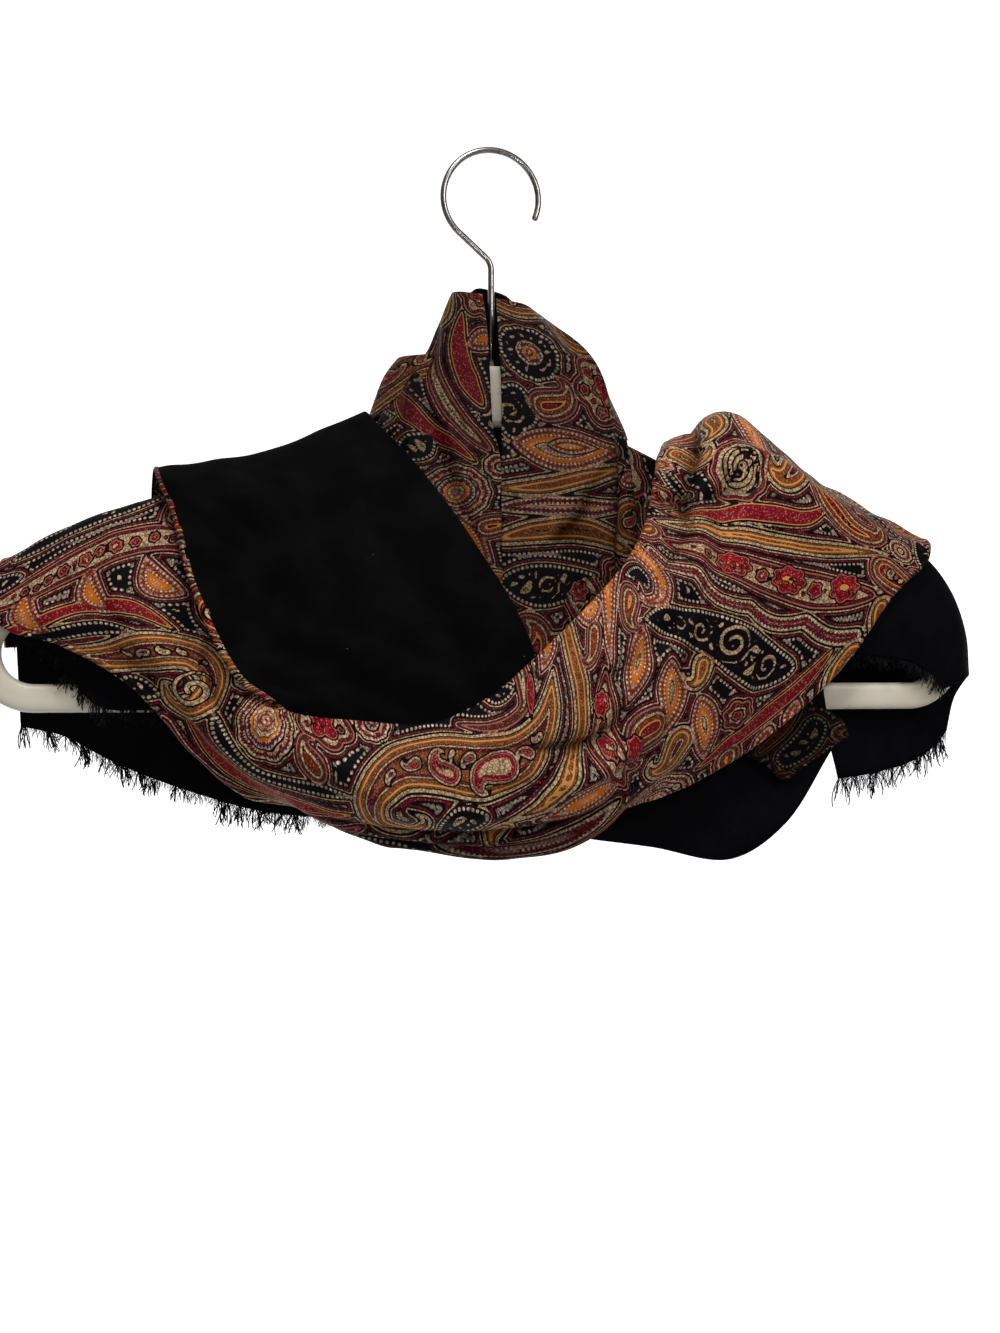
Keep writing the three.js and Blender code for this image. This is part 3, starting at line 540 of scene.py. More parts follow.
class Nodes:
    """The node tree of one material."""

    def __init__(self, name):
        self.material = bpy.data.materials.new(name)
        self.material.use_nodes = True
        self.tree = self.material.node_tree
        self.tree.nodes.clear()

    def add(self, kind, settings=None, inputs=None, output=0):
        node = self.tree.nodes.new(kind)
        for key, value in (settings or {}).items():
            if key == "stops":
                self.set_stops(node.color_ramp, value)
            elif key == "spread":
                node.color_ramp.interpolation = value
            else:
                setattr(node, key, value)
        for key, value in (inputs or {}).items():
            if isinstance(value, Value):
                self.tree.links.new(value.output, node.inputs[key])
            else:
                node.inputs[key].default_value = value
        return Value(self, node.outputs[output] if len(node.outputs) else None)

    @staticmethod
    def set_stops(ramp, stops):
        first, second = ramp.elements
        ramp.elements.remove(second)
        first.position = stops[0][0]
        elements = [first] + [ramp.elements.new(place) for place, _ in stops[1:]]
        for element, (_, colour) in zip(elements, stops):
            element.color = (*colour, 1)

    def math(self, operation, *values):
        return self.add("ShaderNodeMath", {"operation": operation}, dict(enumerate(values)))

    def smooth(self, value, low, high):
        return self.add("ShaderNodeMapRange", {"interpolation_type": "SMOOTHSTEP"},
                        {0: value, 1: low, 2: high, 3: 0.0, 4: 1.0})

    def blend(self, first, second, factor, how="MIX"):
        colours = [value if isinstance(value, Value) else (*value[:3], 1) for value in (first, second)]
        return self.add("ShaderNodeMix", {"data_type": "RGBA", "blend_type": how},
                        {0: factor, 6: colours[0], 7: colours[1]}, output=2)

    def attribute(self, name):
        vector = self.add("ShaderNodeAttribute", {"attribute_name": name}, output=1)
        return [self.add("ShaderNodeSeparateXYZ", inputs={0: vector}, output=k) for k in range(3)]

    def point(self, x, y, z=0.0):
        return self.add("ShaderNodeCombineXYZ", inputs={0: x, 1: y, 2: z})

    def object_place(self):
        return self.add("ShaderNodeTexCoord", output=3)

    def is_kind(self, finish, *kinds):
        """One where the finish is one of these kinds, else nothing."""
        found = [self.math("COMPARE", finish, kind, 0.5) for kind in kinds]
        return sum(found[1:], found[0])

    def bands(self, depth, stops, deepest):
        """Flat colours that change at depths given in mm."""
        parts = [(start / deepest, colour) for start, colour in stops]
        return self.add("ShaderNodeValToRGB", {"spread": "CONSTANT", "stops": parts}, {0: depth / deepest})

    def noise(self, where, scale, detail=2.0, rough=0.5):
        inputs = {"Vector": where, "Scale": scale, "Detail": detail, "Roughness": rough}
        return self.add("ShaderNodeTexNoise", inputs=inputs)

    def bump(self, height, strength, distance):
        inputs = {"Strength": strength, "Distance": distance, "Height": height}
        return self.add("ShaderNodeBump", inputs=inputs)

    def surface(self, **inputs):
        """The finished material; each input is named as on the shader, with _ for a space."""
        inputs = {key.replace("_", " "): value for key, value in inputs.items()}
        shader = self.add("ShaderNodeBsdfPrincipled", inputs=inputs)
        self.add("ShaderNodeOutputMaterial", inputs={0: shader})
        return self.material


def srgb(red, green, blue):
    """A colour given as 0..255 on screen, in the linear numbers that materials use."""
    return tuple(((value / 255 + 0.055) / 1.055) ** 2.4 if value > 10 else value / 255 / 12.92
                 for value in (red, green, blue))


BLACK, NAVY, DARK = srgb(12, 6, 7), srgb(13, 11, 18), srgb(32, 14, 14)
BROWN, OCHRE, STRAW = srgb(84, 41, 30), srgb(144, 82, 42), srgb(220, 154, 82)
IVORY, PALE_IVORY, ROSE = srgb(216, 184, 144), srgb(242, 218, 188), srgb(184, 102, 88)
ORANGE, RUST, CRIMSON = srgb(214, 110, 14), srgb(142, 56, 28), srgb(150, 18, 42)
RED, PURPLE, WINE = srgb(184, 26, 44), srgb(88, 24, 58), srgb(104, 18, 38)

# Each finish: its bands from the outline inwards, as the depth in mm where each starts.
LARGE_BANDS = {
    GOLD: [(0, BLACK), (0.45, IVORY), (1.75, DARK), (2.15, OCHRE), (3.0, STRAW), (3.7, OCHRE), (5.5, DARK),
           (5.85, IVORY), (6.5, DARK), (6.8, WINE), (7.9, OCHRE), (12, BROWN)],
    AMBER: [(0, PURPLE), (0.5, ROSE), (1.05, BROWN), (2.5, IVORY), (3.4, DARK), (3.8, RUST), (5.4, STRAW),
            (6.0, DARK), (6.4, CRIMSON), (8.4, IVORY), (9.0, RUST)],
    LEAF: [(0, PURPLE), (0.55, ROSE), (0.95, RUST), (3.3, ROSE), (3.7, DARK), (4.0, ORANGE), (6.2, DARK),
           (6.6, IVORY), (7.6, RUST)],
    CRESCENT: [(0, DARK), (0.4, STRAW), (0.8, CRIMSON), (3.8, WINE)],
    NIGHT: [(0, DARK), (0.3, NAVY)],
    CREAM: [(0, BLACK), (0.4, ROSE), (1.1, DARK), (1.5, WINE), (2.3, BLACK), (2.7, IVORY)],
    PLUM: [(0, BLACK), (0.4, IVORY), (1.3, DARK), (1.6, WINE), (3.8, STRAW), (4.2, PURPLE), (6.6, IVORY),
           (7.0, RUST), (9.6, IVORY), (10.2, PURPLE)],
}
MEDIUM_BANDS = {
    MEDALLION: [(0, DARK), (0.4, IVORY), (0.9, PURPLE), (2.8, ORANGE), (4.2, DARK), (4.6, IVORY), (6, RUST)],
    PETAL: [(0, WINE), (0.4, IVORY), (0.9, RUST), (2.3, ORANGE), (3.4, BLACK), (4.0, IVORY)],
    FLOWER: [(0, DARK), (0.3, ROSE), (0.7, CRIMSON), (2.4, RED), (3.6, DARK), (4.0, STRAW)],
    PALE: [(0, BLACK), (0.35, IVORY), (1.2, PURPLE), (1.7, ROSE), (2.1, CRIMSON), (3.8, IVORY)],
    CURL: [(0, DARK), (0.25, IVORY), (1.1, BROWN)],
    SPRAY: [(0, DARK), (0.2, IVORY), (1.4, DARK), (1.7, CRIMSON), (2.6, IVORY)],
}
SMALL_BANDS = {
    BUD: [(0, DARK), (0.3, CRIMSON), (1.1, STRAW)],
    SEED: [(0, DARK), (0.2, IVORY)],
}
GROUND_BANDS = [(0, BLACK), (0.35, IVORY), (0.85, BLACK), (1.3, WINE), (2.0, BLACK), (2.4, NAVY)]


def banded(nodes, finish, depth, kinds, deepest):
    """The bands of whichever kind of motif lies here."""
    chosen = nodes.bands(depth, kinds[0], deepest)
    for kind in range(1, len(kinds)):
        colour = nodes.bands(depth, kinds[kind], deepest)
        chosen = nodes.blend(chosen, colour, nodes.is_kind(finish, kind))
    return chosen


DOT_SOFT = 0.2


def dot_rows(nodes, along, depth, pitch, radius):
    """Round dots in rows that follow an outline."""
    across = (nodes.math("FRACT", along) - 0.5) * DOT_PITCH
    inward = (nodes.math("FRACT", depth / pitch) - 0.5) * pitch
    away = nodes.math("SQRT", across * across + inward * inward)
    return 1 - nodes.smooth(away, radius - DOT_SOFT, radius + DOT_SOFT)


GROUND_DOTS_FROM, GROUND_DOTS_TO = 2.4, 4.3             # the row of dots round a large motif, in mm from it
NIGHT_DOTS_TO = 2.0
LARGE_DEEPEST, MEDIUM_DEEPEST, SMALL_DEEPEST = 14.0, 8.0, 3.0
MEDIUM_LINE = 0.35                                      # the black line round a medium motif
VEIN_DARK, SPECK_PALE = 0.72, 0.5
PAINTED_SHADE_FROM, PAINTED_SHADE_TO, PAINTED_SHADE_DARK = 0.4, 4.5, 0.85    # painted shade in creases: the depths where it starts and is full, and how dark it gets
PAINTED_SHADE_TINT, WORN_SHADE = (0.3, 0.26, 0.26), (0.72, 0.7, 0.68)


def print_finish(name, dim):
    """Silk with the three layers of the print; dim darkens its whole colour, as painted shade where the cloth
    lies in the shade of other cloth.
    """
    nodes = Nodes(name)
    u, v, shade_depth = nodes.attribute("cloth")
    where = nodes.point(u, v)
    crackle = nodes.add("ShaderNodeTexVoronoi", {"feature": "DISTANCE_TO_EDGE"},
                        {"Vector": where, "Scale": 0.62, "Randomness": 0.85})
    veins = 1 - nodes.smooth(crackle, 0.03, 0.16)
    speck = nodes.add("ShaderNodeTexVoronoi", {"feature": "F1"}, {"Vector": where, "Scale": 1.05})
    specks = 1 - nodes.smooth(speck, 0.16, 0.36)

    away, along, finish = nodes.attribute("large")
    depth = 0 - away
    row = dot_rows(nodes, along, away - GROUND_DOTS_FROM, 1.9, 0.54)
    ground_dots = row * (away < GROUND_DOTS_TO) * (away > GROUND_DOTS_FROM)
    colour = nodes.blend(nodes.bands(away, GROUND_BANDS, LARGE_DEEPEST), PALE_IVORY, ground_dots)
    inside = banded(nodes, finish, depth, LARGE_BANDS, LARGE_DEEPEST)
    dots = dot_rows(nodes, along, depth, 2.3, 0.54) * nodes.is_kind(finish, LEAF, PLUM)
    night_edge = nodes.is_kind(finish, NIGHT) * (depth < NIGHT_DOTS_TO)
    edge_dots = dot_rows(nodes, along, depth, 2.0, 0.62) * night_edge
    inside = nodes.blend(inside, PALE_IVORY, nodes.math("MINIMUM", dots + edge_dots, 1.0))
    colour = nodes.blend(colour, inside, away < 0)

    away, along, finish = nodes.attribute("medium")
    depth = 0 - away
    inside = banded(nodes, finish, depth, MEDIUM_BANDS, MEDIUM_DEEPEST)
    dots = dot_rows(nodes, along, depth, 2.0, 0.5) * nodes.is_kind(finish, MEDALLION, PETAL)
    inside = nodes.blend(inside, PALE_IVORY, dots)
    colour = nodes.blend(colour, BLACK, away < MEDIUM_LINE)
    colour = nodes.blend(colour, inside, away < 0)

    away, _, finish = nodes.attribute("small")
    inside = banded(nodes, finish, 0 - away, SMALL_BANDS, SMALL_DEEPEST)
    colour = nodes.blend(colour, inside, away < 0)

    light = nodes.add("ShaderNodeRGBToBW", inputs={0: colour})
    pale = nodes.smooth(light, 0.4, 0.46)
    middling = nodes.smooth(light, 0.02, 0.045) * (1 - nodes.smooth(light, 0.17, 0.24))
    colour = nodes.blend(colour, DARK, veins * (pale + middling * 0.75) * VEIN_DARK)
    colour = nodes.blend(colour, IVORY, specks * middling * SPECK_PALE)
    worn = nodes.smooth(nodes.noise(where, 0.05, 3.0), 0.35, 0.75) * 0.5
    colour = nodes.blend(colour, WORN_SHADE, worn, "MULTIPLY")
    # Painted shade: the print is darkened where the depth stored in the cloth's third number is large.
    deep = nodes.smooth(shade_depth, PAINTED_SHADE_FROM, PAINTED_SHADE_TO) * PAINTED_SHADE_DARK
    colour = nodes.blend(colour, PAINTED_SHADE_TINT, deep, "MULTIPLY")
    # Painted shade: the whole colour is scaled by dim, which is far below one for the copies that stand for
    # cloth in shade.
    colour = nodes.blend(colour, (dim, dim, dim), 1.0, "MULTIPLY")

    weave = nodes.math("SINE", (u + v) * 9.0) * nodes.math("SINE", (u - v) * 7.0)
    normal = nodes.bump(weave + nodes.noise(where, 0.8) * 2, 0.25, 0.0002)
    rough = 0.5 + nodes.noise(where, 0.35) * 0.18
    return nodes.surface(Base_Color=colour, Roughness=rough, Normal=normal, Specular_IOR_Level=0.05)


LINT_SCALE, LINT_SHARE, LINT_COLOUR = 0.11, 0.28, (0.3, 0.29, 0.28)


def wool_finish(name, colour, rough, satin, gloss):
    """Black felted wool with a little lint; satin adds a fine twill."""
    nodes = Nodes(name)
    u, v, _ = nodes.attribute("cloth")
    where = nodes.point(u, v)
    cell, pick = (nodes.add("ShaderNodeTexVoronoi", {"feature": "F1"}, {"Vector": where, "Scale": LINT_SCALE},
                            output=output) for output in (0, 1))
    keep = nodes.add("ShaderNodeSeparateColor", inputs={0: pick}) > 1 - LINT_SHARE
    lint = (1 - nodes.smooth(cell, 0.012, 0.032)) * keep
    cloudy = nodes.smooth(nodes.noise(where, 0.06, 4.0), 0.35, 0.75)
    shade = nodes.blend(colour, tuple(2.1 * part for part in colour), cloudy)
    shade = nodes.blend(shade, LINT_COLOUR, lint * 0.7)
    felt = nodes.noise(where, 1.6, 4.0, 0.7) + satin * nodes.math("SINE", (u * 0.6 + v) * 5.0)
    return nodes.surface(Base_Color=shade, Roughness=rough + nodes.noise(where, 0.5) * 0.1,
                         Normal=nodes.bump(felt, 0.5, 0.0003), Specular_IOR_Level=gloss)


def plastic_finish():
    """Warm white plastic, slightly cloudy, with small scuffs."""
    nodes = Nodes("hanger_plastic")
    place = nodes.object_place()
    cloudy = nodes.noise(place, 30.0, 3.0)
    colour = nodes.blend(srgb(227, 220, 205), srgb(214, 205, 187), nodes.smooth(cloudy, 0.3, 0.75))
    scuffs = nodes.smooth(nodes.noise(place, 260.0, 4.0, 0.7), 0.62, 0.74)
    colour = nodes.blend(colour, srgb(170, 162, 146), scuffs * 0.5)
    return nodes.surface(Base_Color=colour, Roughness=0.36 + scuffs * 0.2,
                         Normal=nodes.bump(cloudy, 0.15, 0.001))


STEEL_PALE, STEEL_DARK = (0.33, 0.32, 0.31), (0.14, 0.13, 0.12)


def steel_finish():
    """Drawn steel wire with uneven streaks."""
    nodes = Nodes("hook_steel")
    streak = nodes.noise(nodes.object_place(), 420.0, 3.0)
    colour = nodes.blend(STEEL_PALE, STEEL_DARK, nodes.smooth(streak, 0.45, 0.8))
    return nodes.surface(Base_Color=colour, Metallic=1.0, Roughness=0.16 + streak * 0.16)


# Painted shade: the two copies after the first are the same print darkened for cloth in the shade of other
# cloth, the last much more, for the corner under the fan.
PRINT = print_finish("printed_silk", 0.9)
SHADED_PRINT = print_finish("printed_silk_painted_shade", 0.37)
DEEP_SHADE_PRINT = print_finish("printed_silk_in_shade", 0.12)
WOOL = wool_finish("black_wool", (0.0019, 0.0019, 0.002), rough=0.9, satin=0.0, gloss=0.035)
END_CLOTH = wool_finish("black_end_cloth", (0.0013, 0.0014, 0.0024), rough=0.62, satin=0.4, gloss=0.05)
PLASTIC = plastic_finish()
STEEL = steel_finish()


# ---- tables of the cloth: as in the part, with a few edges moved ----

# The section of cloth over an arm: half its depth, how high it lies, and its rounding at the top.
SIDE, LIFT, SHOULDER_Y, SHOULDER_DROP, SIDE_DROP = 5.7, 1.6, 4.45, 1.8, 9.0
SECTION = ("frontHem", "frontLow", "frontHigh", "frontRound", "crown", "backRound", "backHigh", "backLow",
           "backHem")


def arm_section(row):
    """The points of cloth laid over an arm, from the front hem over the arm to the back hem."""
    x, front_x, front_z, front_y, back_x, back_z, back_y = row
    crown = arm_top(x) + LIFT
    high = crown - SIDE_DROP
    return {
        "frontHem": (front_x, -front_y, front_z),
        "frontLow": ((front_x + x) / 2, -(front_y + SIDE) / 2, (front_z + high) / 2),
        "frontHigh": (x, -SIDE, high),
        "frontRound": (x, -SHOULDER_Y, crown - SHOULDER_DROP),
        "crown": (x, 0, crown),
        "backRound": (x, SHOULDER_Y, crown - SHOULDER_DROP),
        "backHigh": (x, SIDE, high),
        "backLow": ((back_x + x) / 2, (back_y + SIDE) / 2, (back_z + high) / 2),
        "backHem": (back_x, back_y, back_z),
    }


# Each row: place on the arm, then x, z and depth of the front hem, and of the back hem.
LEFT_END = [
    (-201, -199, -212, 6, -199, -249, 8),
    (-186, -184, -219, 6, -182, -253, 8.5),
    (-168, -167, -240, 7, -162, -264, 9),
    (-152, -150, -242, 7, -141, -273, 9),
    (-137, -134, -241, 7, -121, -280, 8.5),
    (-118, -116, -247, 7, -100, -286, 9),
    (-97, -97, -249, 7, -78, -289, 9.5),
    (-76, -78, -247, 7, -55, -291, 9),
    (-52, -58, -240, 7, -32, -292, 8.5),
]
LOWER_TAIL = [
    (53, 42, -299, 9, 46, -225, 6.5),
    (76, 70, -303, 9, 72, -252, 7.5),
    (100, 106, -309, 9, 98, -262, 7.5),
    (124, 131, -294, 9, 122, -255, 7),
    (141, 153, -261, 9, 143, -238, 6.5),
]


def table_of(columns, rows):
    return [dict(zip(columns, row)) for row in rows]


RIGHT_END_COLUMNS = ("front", "frontMid", "fold", "backMid", "back")
RIGHT_END = table_of(RIGHT_END_COLUMNS, [
    ((159, -9, -218), (159, -9, -186), (160, 0, -156), (149, 8, -212), (162, 6, -275)),
    ((168, -9, -219), (173, -10, -188), (183, 0, -164), (176, 8.5, -210), (171, 6.5, -274)),
    ((180, -9, -220), (188, -10, -194), (202, 0, -175), (193, 9, -215), (183, 7, -272)),
    ((191, -9, -222), (202, -10, -203), (214, 0, -190), (206, 9, -222), (197, 7.5, -268)),
    ((200, -9, -227), (212, -9, -216), (221, 0, -209), (215, 9, -230), (208, 8, -262)),
    ((207, -8, -234), (217, -7, -230), (223, 1, -228), (220, 9, -238), (216, 9, -254)),
])

BAND_COLUMNS = ("upper", "crest", "lower", "edge")
BAND = table_of(BAND_COLUMNS, [
    ((-112, 16, -206), (-142, 15, -210), (-176, 13, -214), (-206, 11.4, -216)),
    ((-110, 15, -168), (-143, 14, -180), (-176, 13, -190), (-207, 11, -199)),
    ((-112, -1, -144), (-146, -1, -154), (-177, -1, -165), (-206, -1, -181)),
    ((-112, -18, -162), (-143, -16, -171), (-176, -14, -181), (-208, -11, -195)),
    ((-112, -25, -179), (-143, -21, -189), (-176, -17, -199), (-205, -13, -207)),
    ((-111, -31, -196), (-137, -26, -205), (-160, -20, -213), (-181, -15, -215)),
    ((-108, -36, -214), (-127, -31, -221), (-142, -25, -228), (-154, -18, -231)),
    ((-101, -41, -236), (-110, -40, -246), (-120, -34, -254), (-127, -24, -260)),
    ((-87, -49, -243), (-90, -54, -259), (-97, -44, -272), (-106, -29, -277)),
    ((-62, -52, -246), (-66, -61, -265), (-73, -40, -290), (-76, -22, -282)),
    ((-34, -52, -247), (-37, -65, -270), (-37, -42, -300), (-38, -18, -288)),
    ((-10, -51, -237), (-9, -65, -265), (1, -42, -304), (4, -18, -292)),
    ((13, -48, -218), (18, -62, -251), (36, -39, -296), (42, -19, -286)),
    ((34, -45, -198), (44, -58, -233), (63, -42, -268), (72, -23, -279)),
    ((50, -40, -181), (70, -51, -211), (94, -36, -239), (113, -19, -259)),
    ((59, -36, -166), (86, -45, -187), (122, -31, -208), (155, -15, -225)),
    ((64, -31, -151), (96, -39, -162), (141, -27, -177), (182, -14, -190)),
    ((69, -21, -137), (101, -27, -129), (146, -21, -152), (198, -11, -176)),
    ((78.5, 0, -127.5), (105, 0, -110.5), (146, 0, -139), (203, 0, -167.5)),
    ((80, 17, -142), (104, 22, -133), (148, 17, -158), (204, 11, -182)),
    ((78, 22, -216), (110, 26, -229), (158, 20, -214), (200, 13, -203)),
])
# Each fold: three places as (row, across), then its height and width; a trough has a negative height.
BAND_FOLDS = [
    ((2.6, 0.5), (5, 0.5), (8, 0.62), 3.2, 6),
    ((4.2, 0.72), (6, 0.76), (8.5, 0.84), -2.6, 5),
    ((8, 0.74), (10.4, 0.84), (13.4, 0.8), -4.2, 6),
    ((8.6, 0.44), (10.8, 0.45), (13.8, 0.5), 3, 7),
    ((9.6, 0.34), (11.6, 0.42), (14, 0.4), -3.2, 5),
    ((11.6, 0.2), (13.6, 0.22), (16, 0.16), 2.6, 5),
    ((15, 0.36), (16, 0.32), (17, 0.22), -5.5, 7),
    ((15.9, 0.42), (16.1, 0.62), (15.7, 0.92), -3.6, 6),
    ((16.8, 0.34), (17, 0.55), (16.9, 0.86), 3.4, 6),
    ((15, 0.42), (14.4, 0.62), (13.9, 0.9), 3.2, 7),
    ((14.6, 0.3), (13.8, 0.3), (12.6, 0.28), -2.8, 5),
    ((18.6, 0.3), (19.2, 0.36), (19.9, 0.34), 3, 8),
    # gathers of the swag, and where it meets the fan's stripes
    ((8.6, 0.6), (10.9, 0.53), (12.8, 0.62), -5.4, 3),
    ((9, 0.66), (10.3, 0.6), (12, 0.585), -4.8, 2.7),
    ((9.8, 0.7), (11.2, 0.645), (12.8, 0.67), -4.4, 2.7),
    ((9.6, 0.63), (11.2, 0.61), (12.6, 0.64), 2, 3.4),
    ((11.3, 0.3), (12.1, 0.385), (12.85, 0.43), -5, 3.6),
    ((11.5, 0.41), (12.2, 0.46), (12.9, 0.5), 3.4, 4.6),
    ((9.3, 0.2), (10.4, 0.26), (11.6, 0.22), -2.8, 4.2),
    ((8.4, 0.32), (9.8, 0.4), (11.4, 0.38), 2.6, 6),
    ((13.2, 0.62), (13.8, 0.45), (14.9, 0.4), -3, 4.2),
    # folds that run out from the pinch over the right arm
    ((18.25, 0.13), (17.2, 0.165), (16.1, 0.13), -5.8, 3.6),
    ((17.8, 0.06), (17.1, 0.06), (16.5, 0.08), 3.6, 5),
    ((16.45, 0.13), (16.07, 0.13), (15.65, 0.17), -6.5, 3.6),
    ((16.15, 0.18), (16.66, 0.29), (17, 0.44), 3.6, 4.6),
    ((16.05, 0.17), (16.4, 0.31), (16.4, 0.46), -4, 4.2),
    ((15.8, 0.2), (15.1, 0.26), (14.5, 0.28), 3.4, 4.6),
    ((16.12, 0.12), (16.02, 0.04), (15.8, -0.02), -4.2, 3.4),
    ((15.6, 0.2), (15.1, 0.16), (14.2, 0.14), -3.4, 4),
    # shallow bunching on the left stretch
    ((4.2, 0.1), (5.2, 0.3), (6.4, 0.5), -3.4, 5),
    ((6.3, 0.1), (7.6, 0.25), (8.8, 0.3), 3, 5),
    ((3.6, 0.86), (4.6, 0.74), (5.6, 0.5), 2.8, 6),
    ((5.6, 0.16), (6.3, 0.34), (7.4, 0.5), -3, 4.2),
]

FLAP_COLUMNS = ("left", "middle", "right")
FLAP = table_of(FLAP_COLUMNS, [
    ((-141, 19, -178), (-101, 21, -207), (-64, 20, -226)),
    ((-145, 17, -160), (-100, 19, -152), (-58, 19, -138)),
    ((-144, 0, -141), (-100, 0, -133.5), (-56, 0, -115)),
    ((-142, -13, -147), (-98, -16, -144), (-51, -15, -122)),
    ((-136, -21, -162), (-88, -30, -156), (-37, -27, -139)),
    ((-130, -30, -187), (-77, -39, -181), (-21, -34, -161)),
    ((-121, -36.5, -210), (-65, -44, -202), (-7, -39, -183)),
    ((-109.5, -42, -230), (-51, -47, -222), (4, -42, -202)),
    ((-99, -45.5, -237), (-41, -46, -240), (11, -42.5, -220)),
    ((-86, -43.5, -247), (-31, -44, -254), (10, -41, -233)),
])
FLAP_FOLDS = [
    ((2.1, 0.33), (4, 0.36), (6.6, 0.46), -2.6, 8),
    ((4, 0.74), (6, 0.72), (8.4, 0.8), 2.4, 9),
    ((5.6, 0.1), (7.2, 0.3), (8.4, 0.6), 2, 8),
]

COWL_COLUMNS = ("left", "right", "front", "back", "leftZ", "rightZ", "slitLeft", "slitRight")
COWL = table_of(COWL_COLUMNS, [
    (-17, 22, -13, 12, -62, -71, -6, 0.2),
    (-23, 33, -17, 17, -74, -80, -5, 0.1),
    (-27, 44, -21, 22, -88, -92, -4.5, 0.2),
    (-38, 53, -22.5, 25, -103, -107, -4.2, 0.7),
    (-50, 61, -24, 27, -119.6, -124, -3.6, 0.7),
    (-60, 65, -25, 28, -141, -144, -0.9, 0.4),
    (-65, 67, -26, 28, -166, -168, -0.6, 0.4),
    (-68, 68, -28, 28, -194, -196, -0.6, 0.4),
    (-68, 66, -31, 27, -226, -226, -0.6, 0.4),
])
RIM_ROWS, LAST_ROW = 4, 8        # the collar ends at the first of these rows, the falls at the second
COWL_SIDE, COWL_BACK = math.radians(62), math.radians(120)
COWL_REACH = math.radians(71)    # how far the falls go round to the sides
LEFT_HEM_ROW, RIGHT_HEM_ROW = 7.2, 8.0
BACK_HEM_SHORT, BACK_HEM_LONG = 6.5, 8.0
COLLAR_FOLDS = [
    ((0.6, 0.8), (2.4, 0.85), (4.6, 0.93), 2.8, 4.5),
    ((0.4, 0.1), (2, 0.13), (4, 0.2), -2.2, 5),
    ((1, 0.3), (2.4, 0.34), (4.2, 0.34), 2.2, 6),
    ((1.4, 0.78), (3.2, 0.86), (4.9, 0.9), -4.2, 3.8),
    ((0.8, 0.2), (2.2, 0.22), (3.6, 0.16), -3, 4),
    ((0.3, 0.97), (1.6, 0.96), (3.4, 0.975), 1.6, 3),
]
NECK_LEFT_FOLDS = [
    ((3.6, 0.45), (5, 0.62), (6.6, 0.92), 2.6, 4.5),
    ((4, 0.1), (5.4, 0.3), (7, 0.5), -2, 5),
    ((3.8, 0.62), (4.8, 0.7), (5.8, 0.86), -3.6, 3.4),
]
NECK_RIGHT_FOLDS = [
    ((4.4, 0.88), (5, 0.6), (5.8, 0.5), -2.4, 4),
    ((4.2, 0.95), (5.6, 0.88), (7, 0.8), 2.4, 5),
    ((5.8, 0.2), (6.2, 0.5), (6, 0.9), 2, 5),
    ((5.2, 0.54), (5.75, 0.42), (6.15, 0.24), -4.4, 3),
    ((3.7, 0.86), (5.2, 0.8), (6.6, 0.76), -4.4, 3.4),
]
BACK_FOLDS = [
    ((4, 0.25), (5.7, 0.32), (7.4, 0.3), 3, 8),
    ((4, 0.55), (5.7, 0.58), (7.4, 0.52), -3, 7),
    ((4.4, 0.8), (6, 0.74), (7.4, 0.76), 2.6, 8),
]

SHOULDER = table_of(COWL_COLUMNS[:6], [
    (-40, 49, -13, 25, -90, -90),
    (-46.4, 54.4, -14, 27.4, -99, -100),
    (-52.5, 59, -14, 29.2, -116, -118),
])
SHOULDER_TURNS = (math.radians(128), math.radians(318))

CORNER_DEPTH, CORNER_CURL = -(LOWER_TAIL[0][3] + 1.6), 2.5
CORNER = [
    {"high": (high_x, CORNER_DEPTH, high_z), "low": (low_x, CORNER_DEPTH - CORNER_CURL, low_z)}
    for high_x, high_z, low_x, low_z in [
        (112, -232, 101, -256), (133, -234, 110, -262), (146, -241, 120, -267),
        (157, -248, 129, -274), (160, -255, 138, -269)]
]


# ---- the layout of the large motifs where the cloth shows most; the rest is filled ----

FINE_STEPS, FINEST_STEPS = 90, 110   # steps along the stripes that curl tightly


def along_line(finish, points, widths, **others):
    """A motif that is a stripe through points, with its widths from end to end."""
    return finish, ribbon(points, widths, **others)


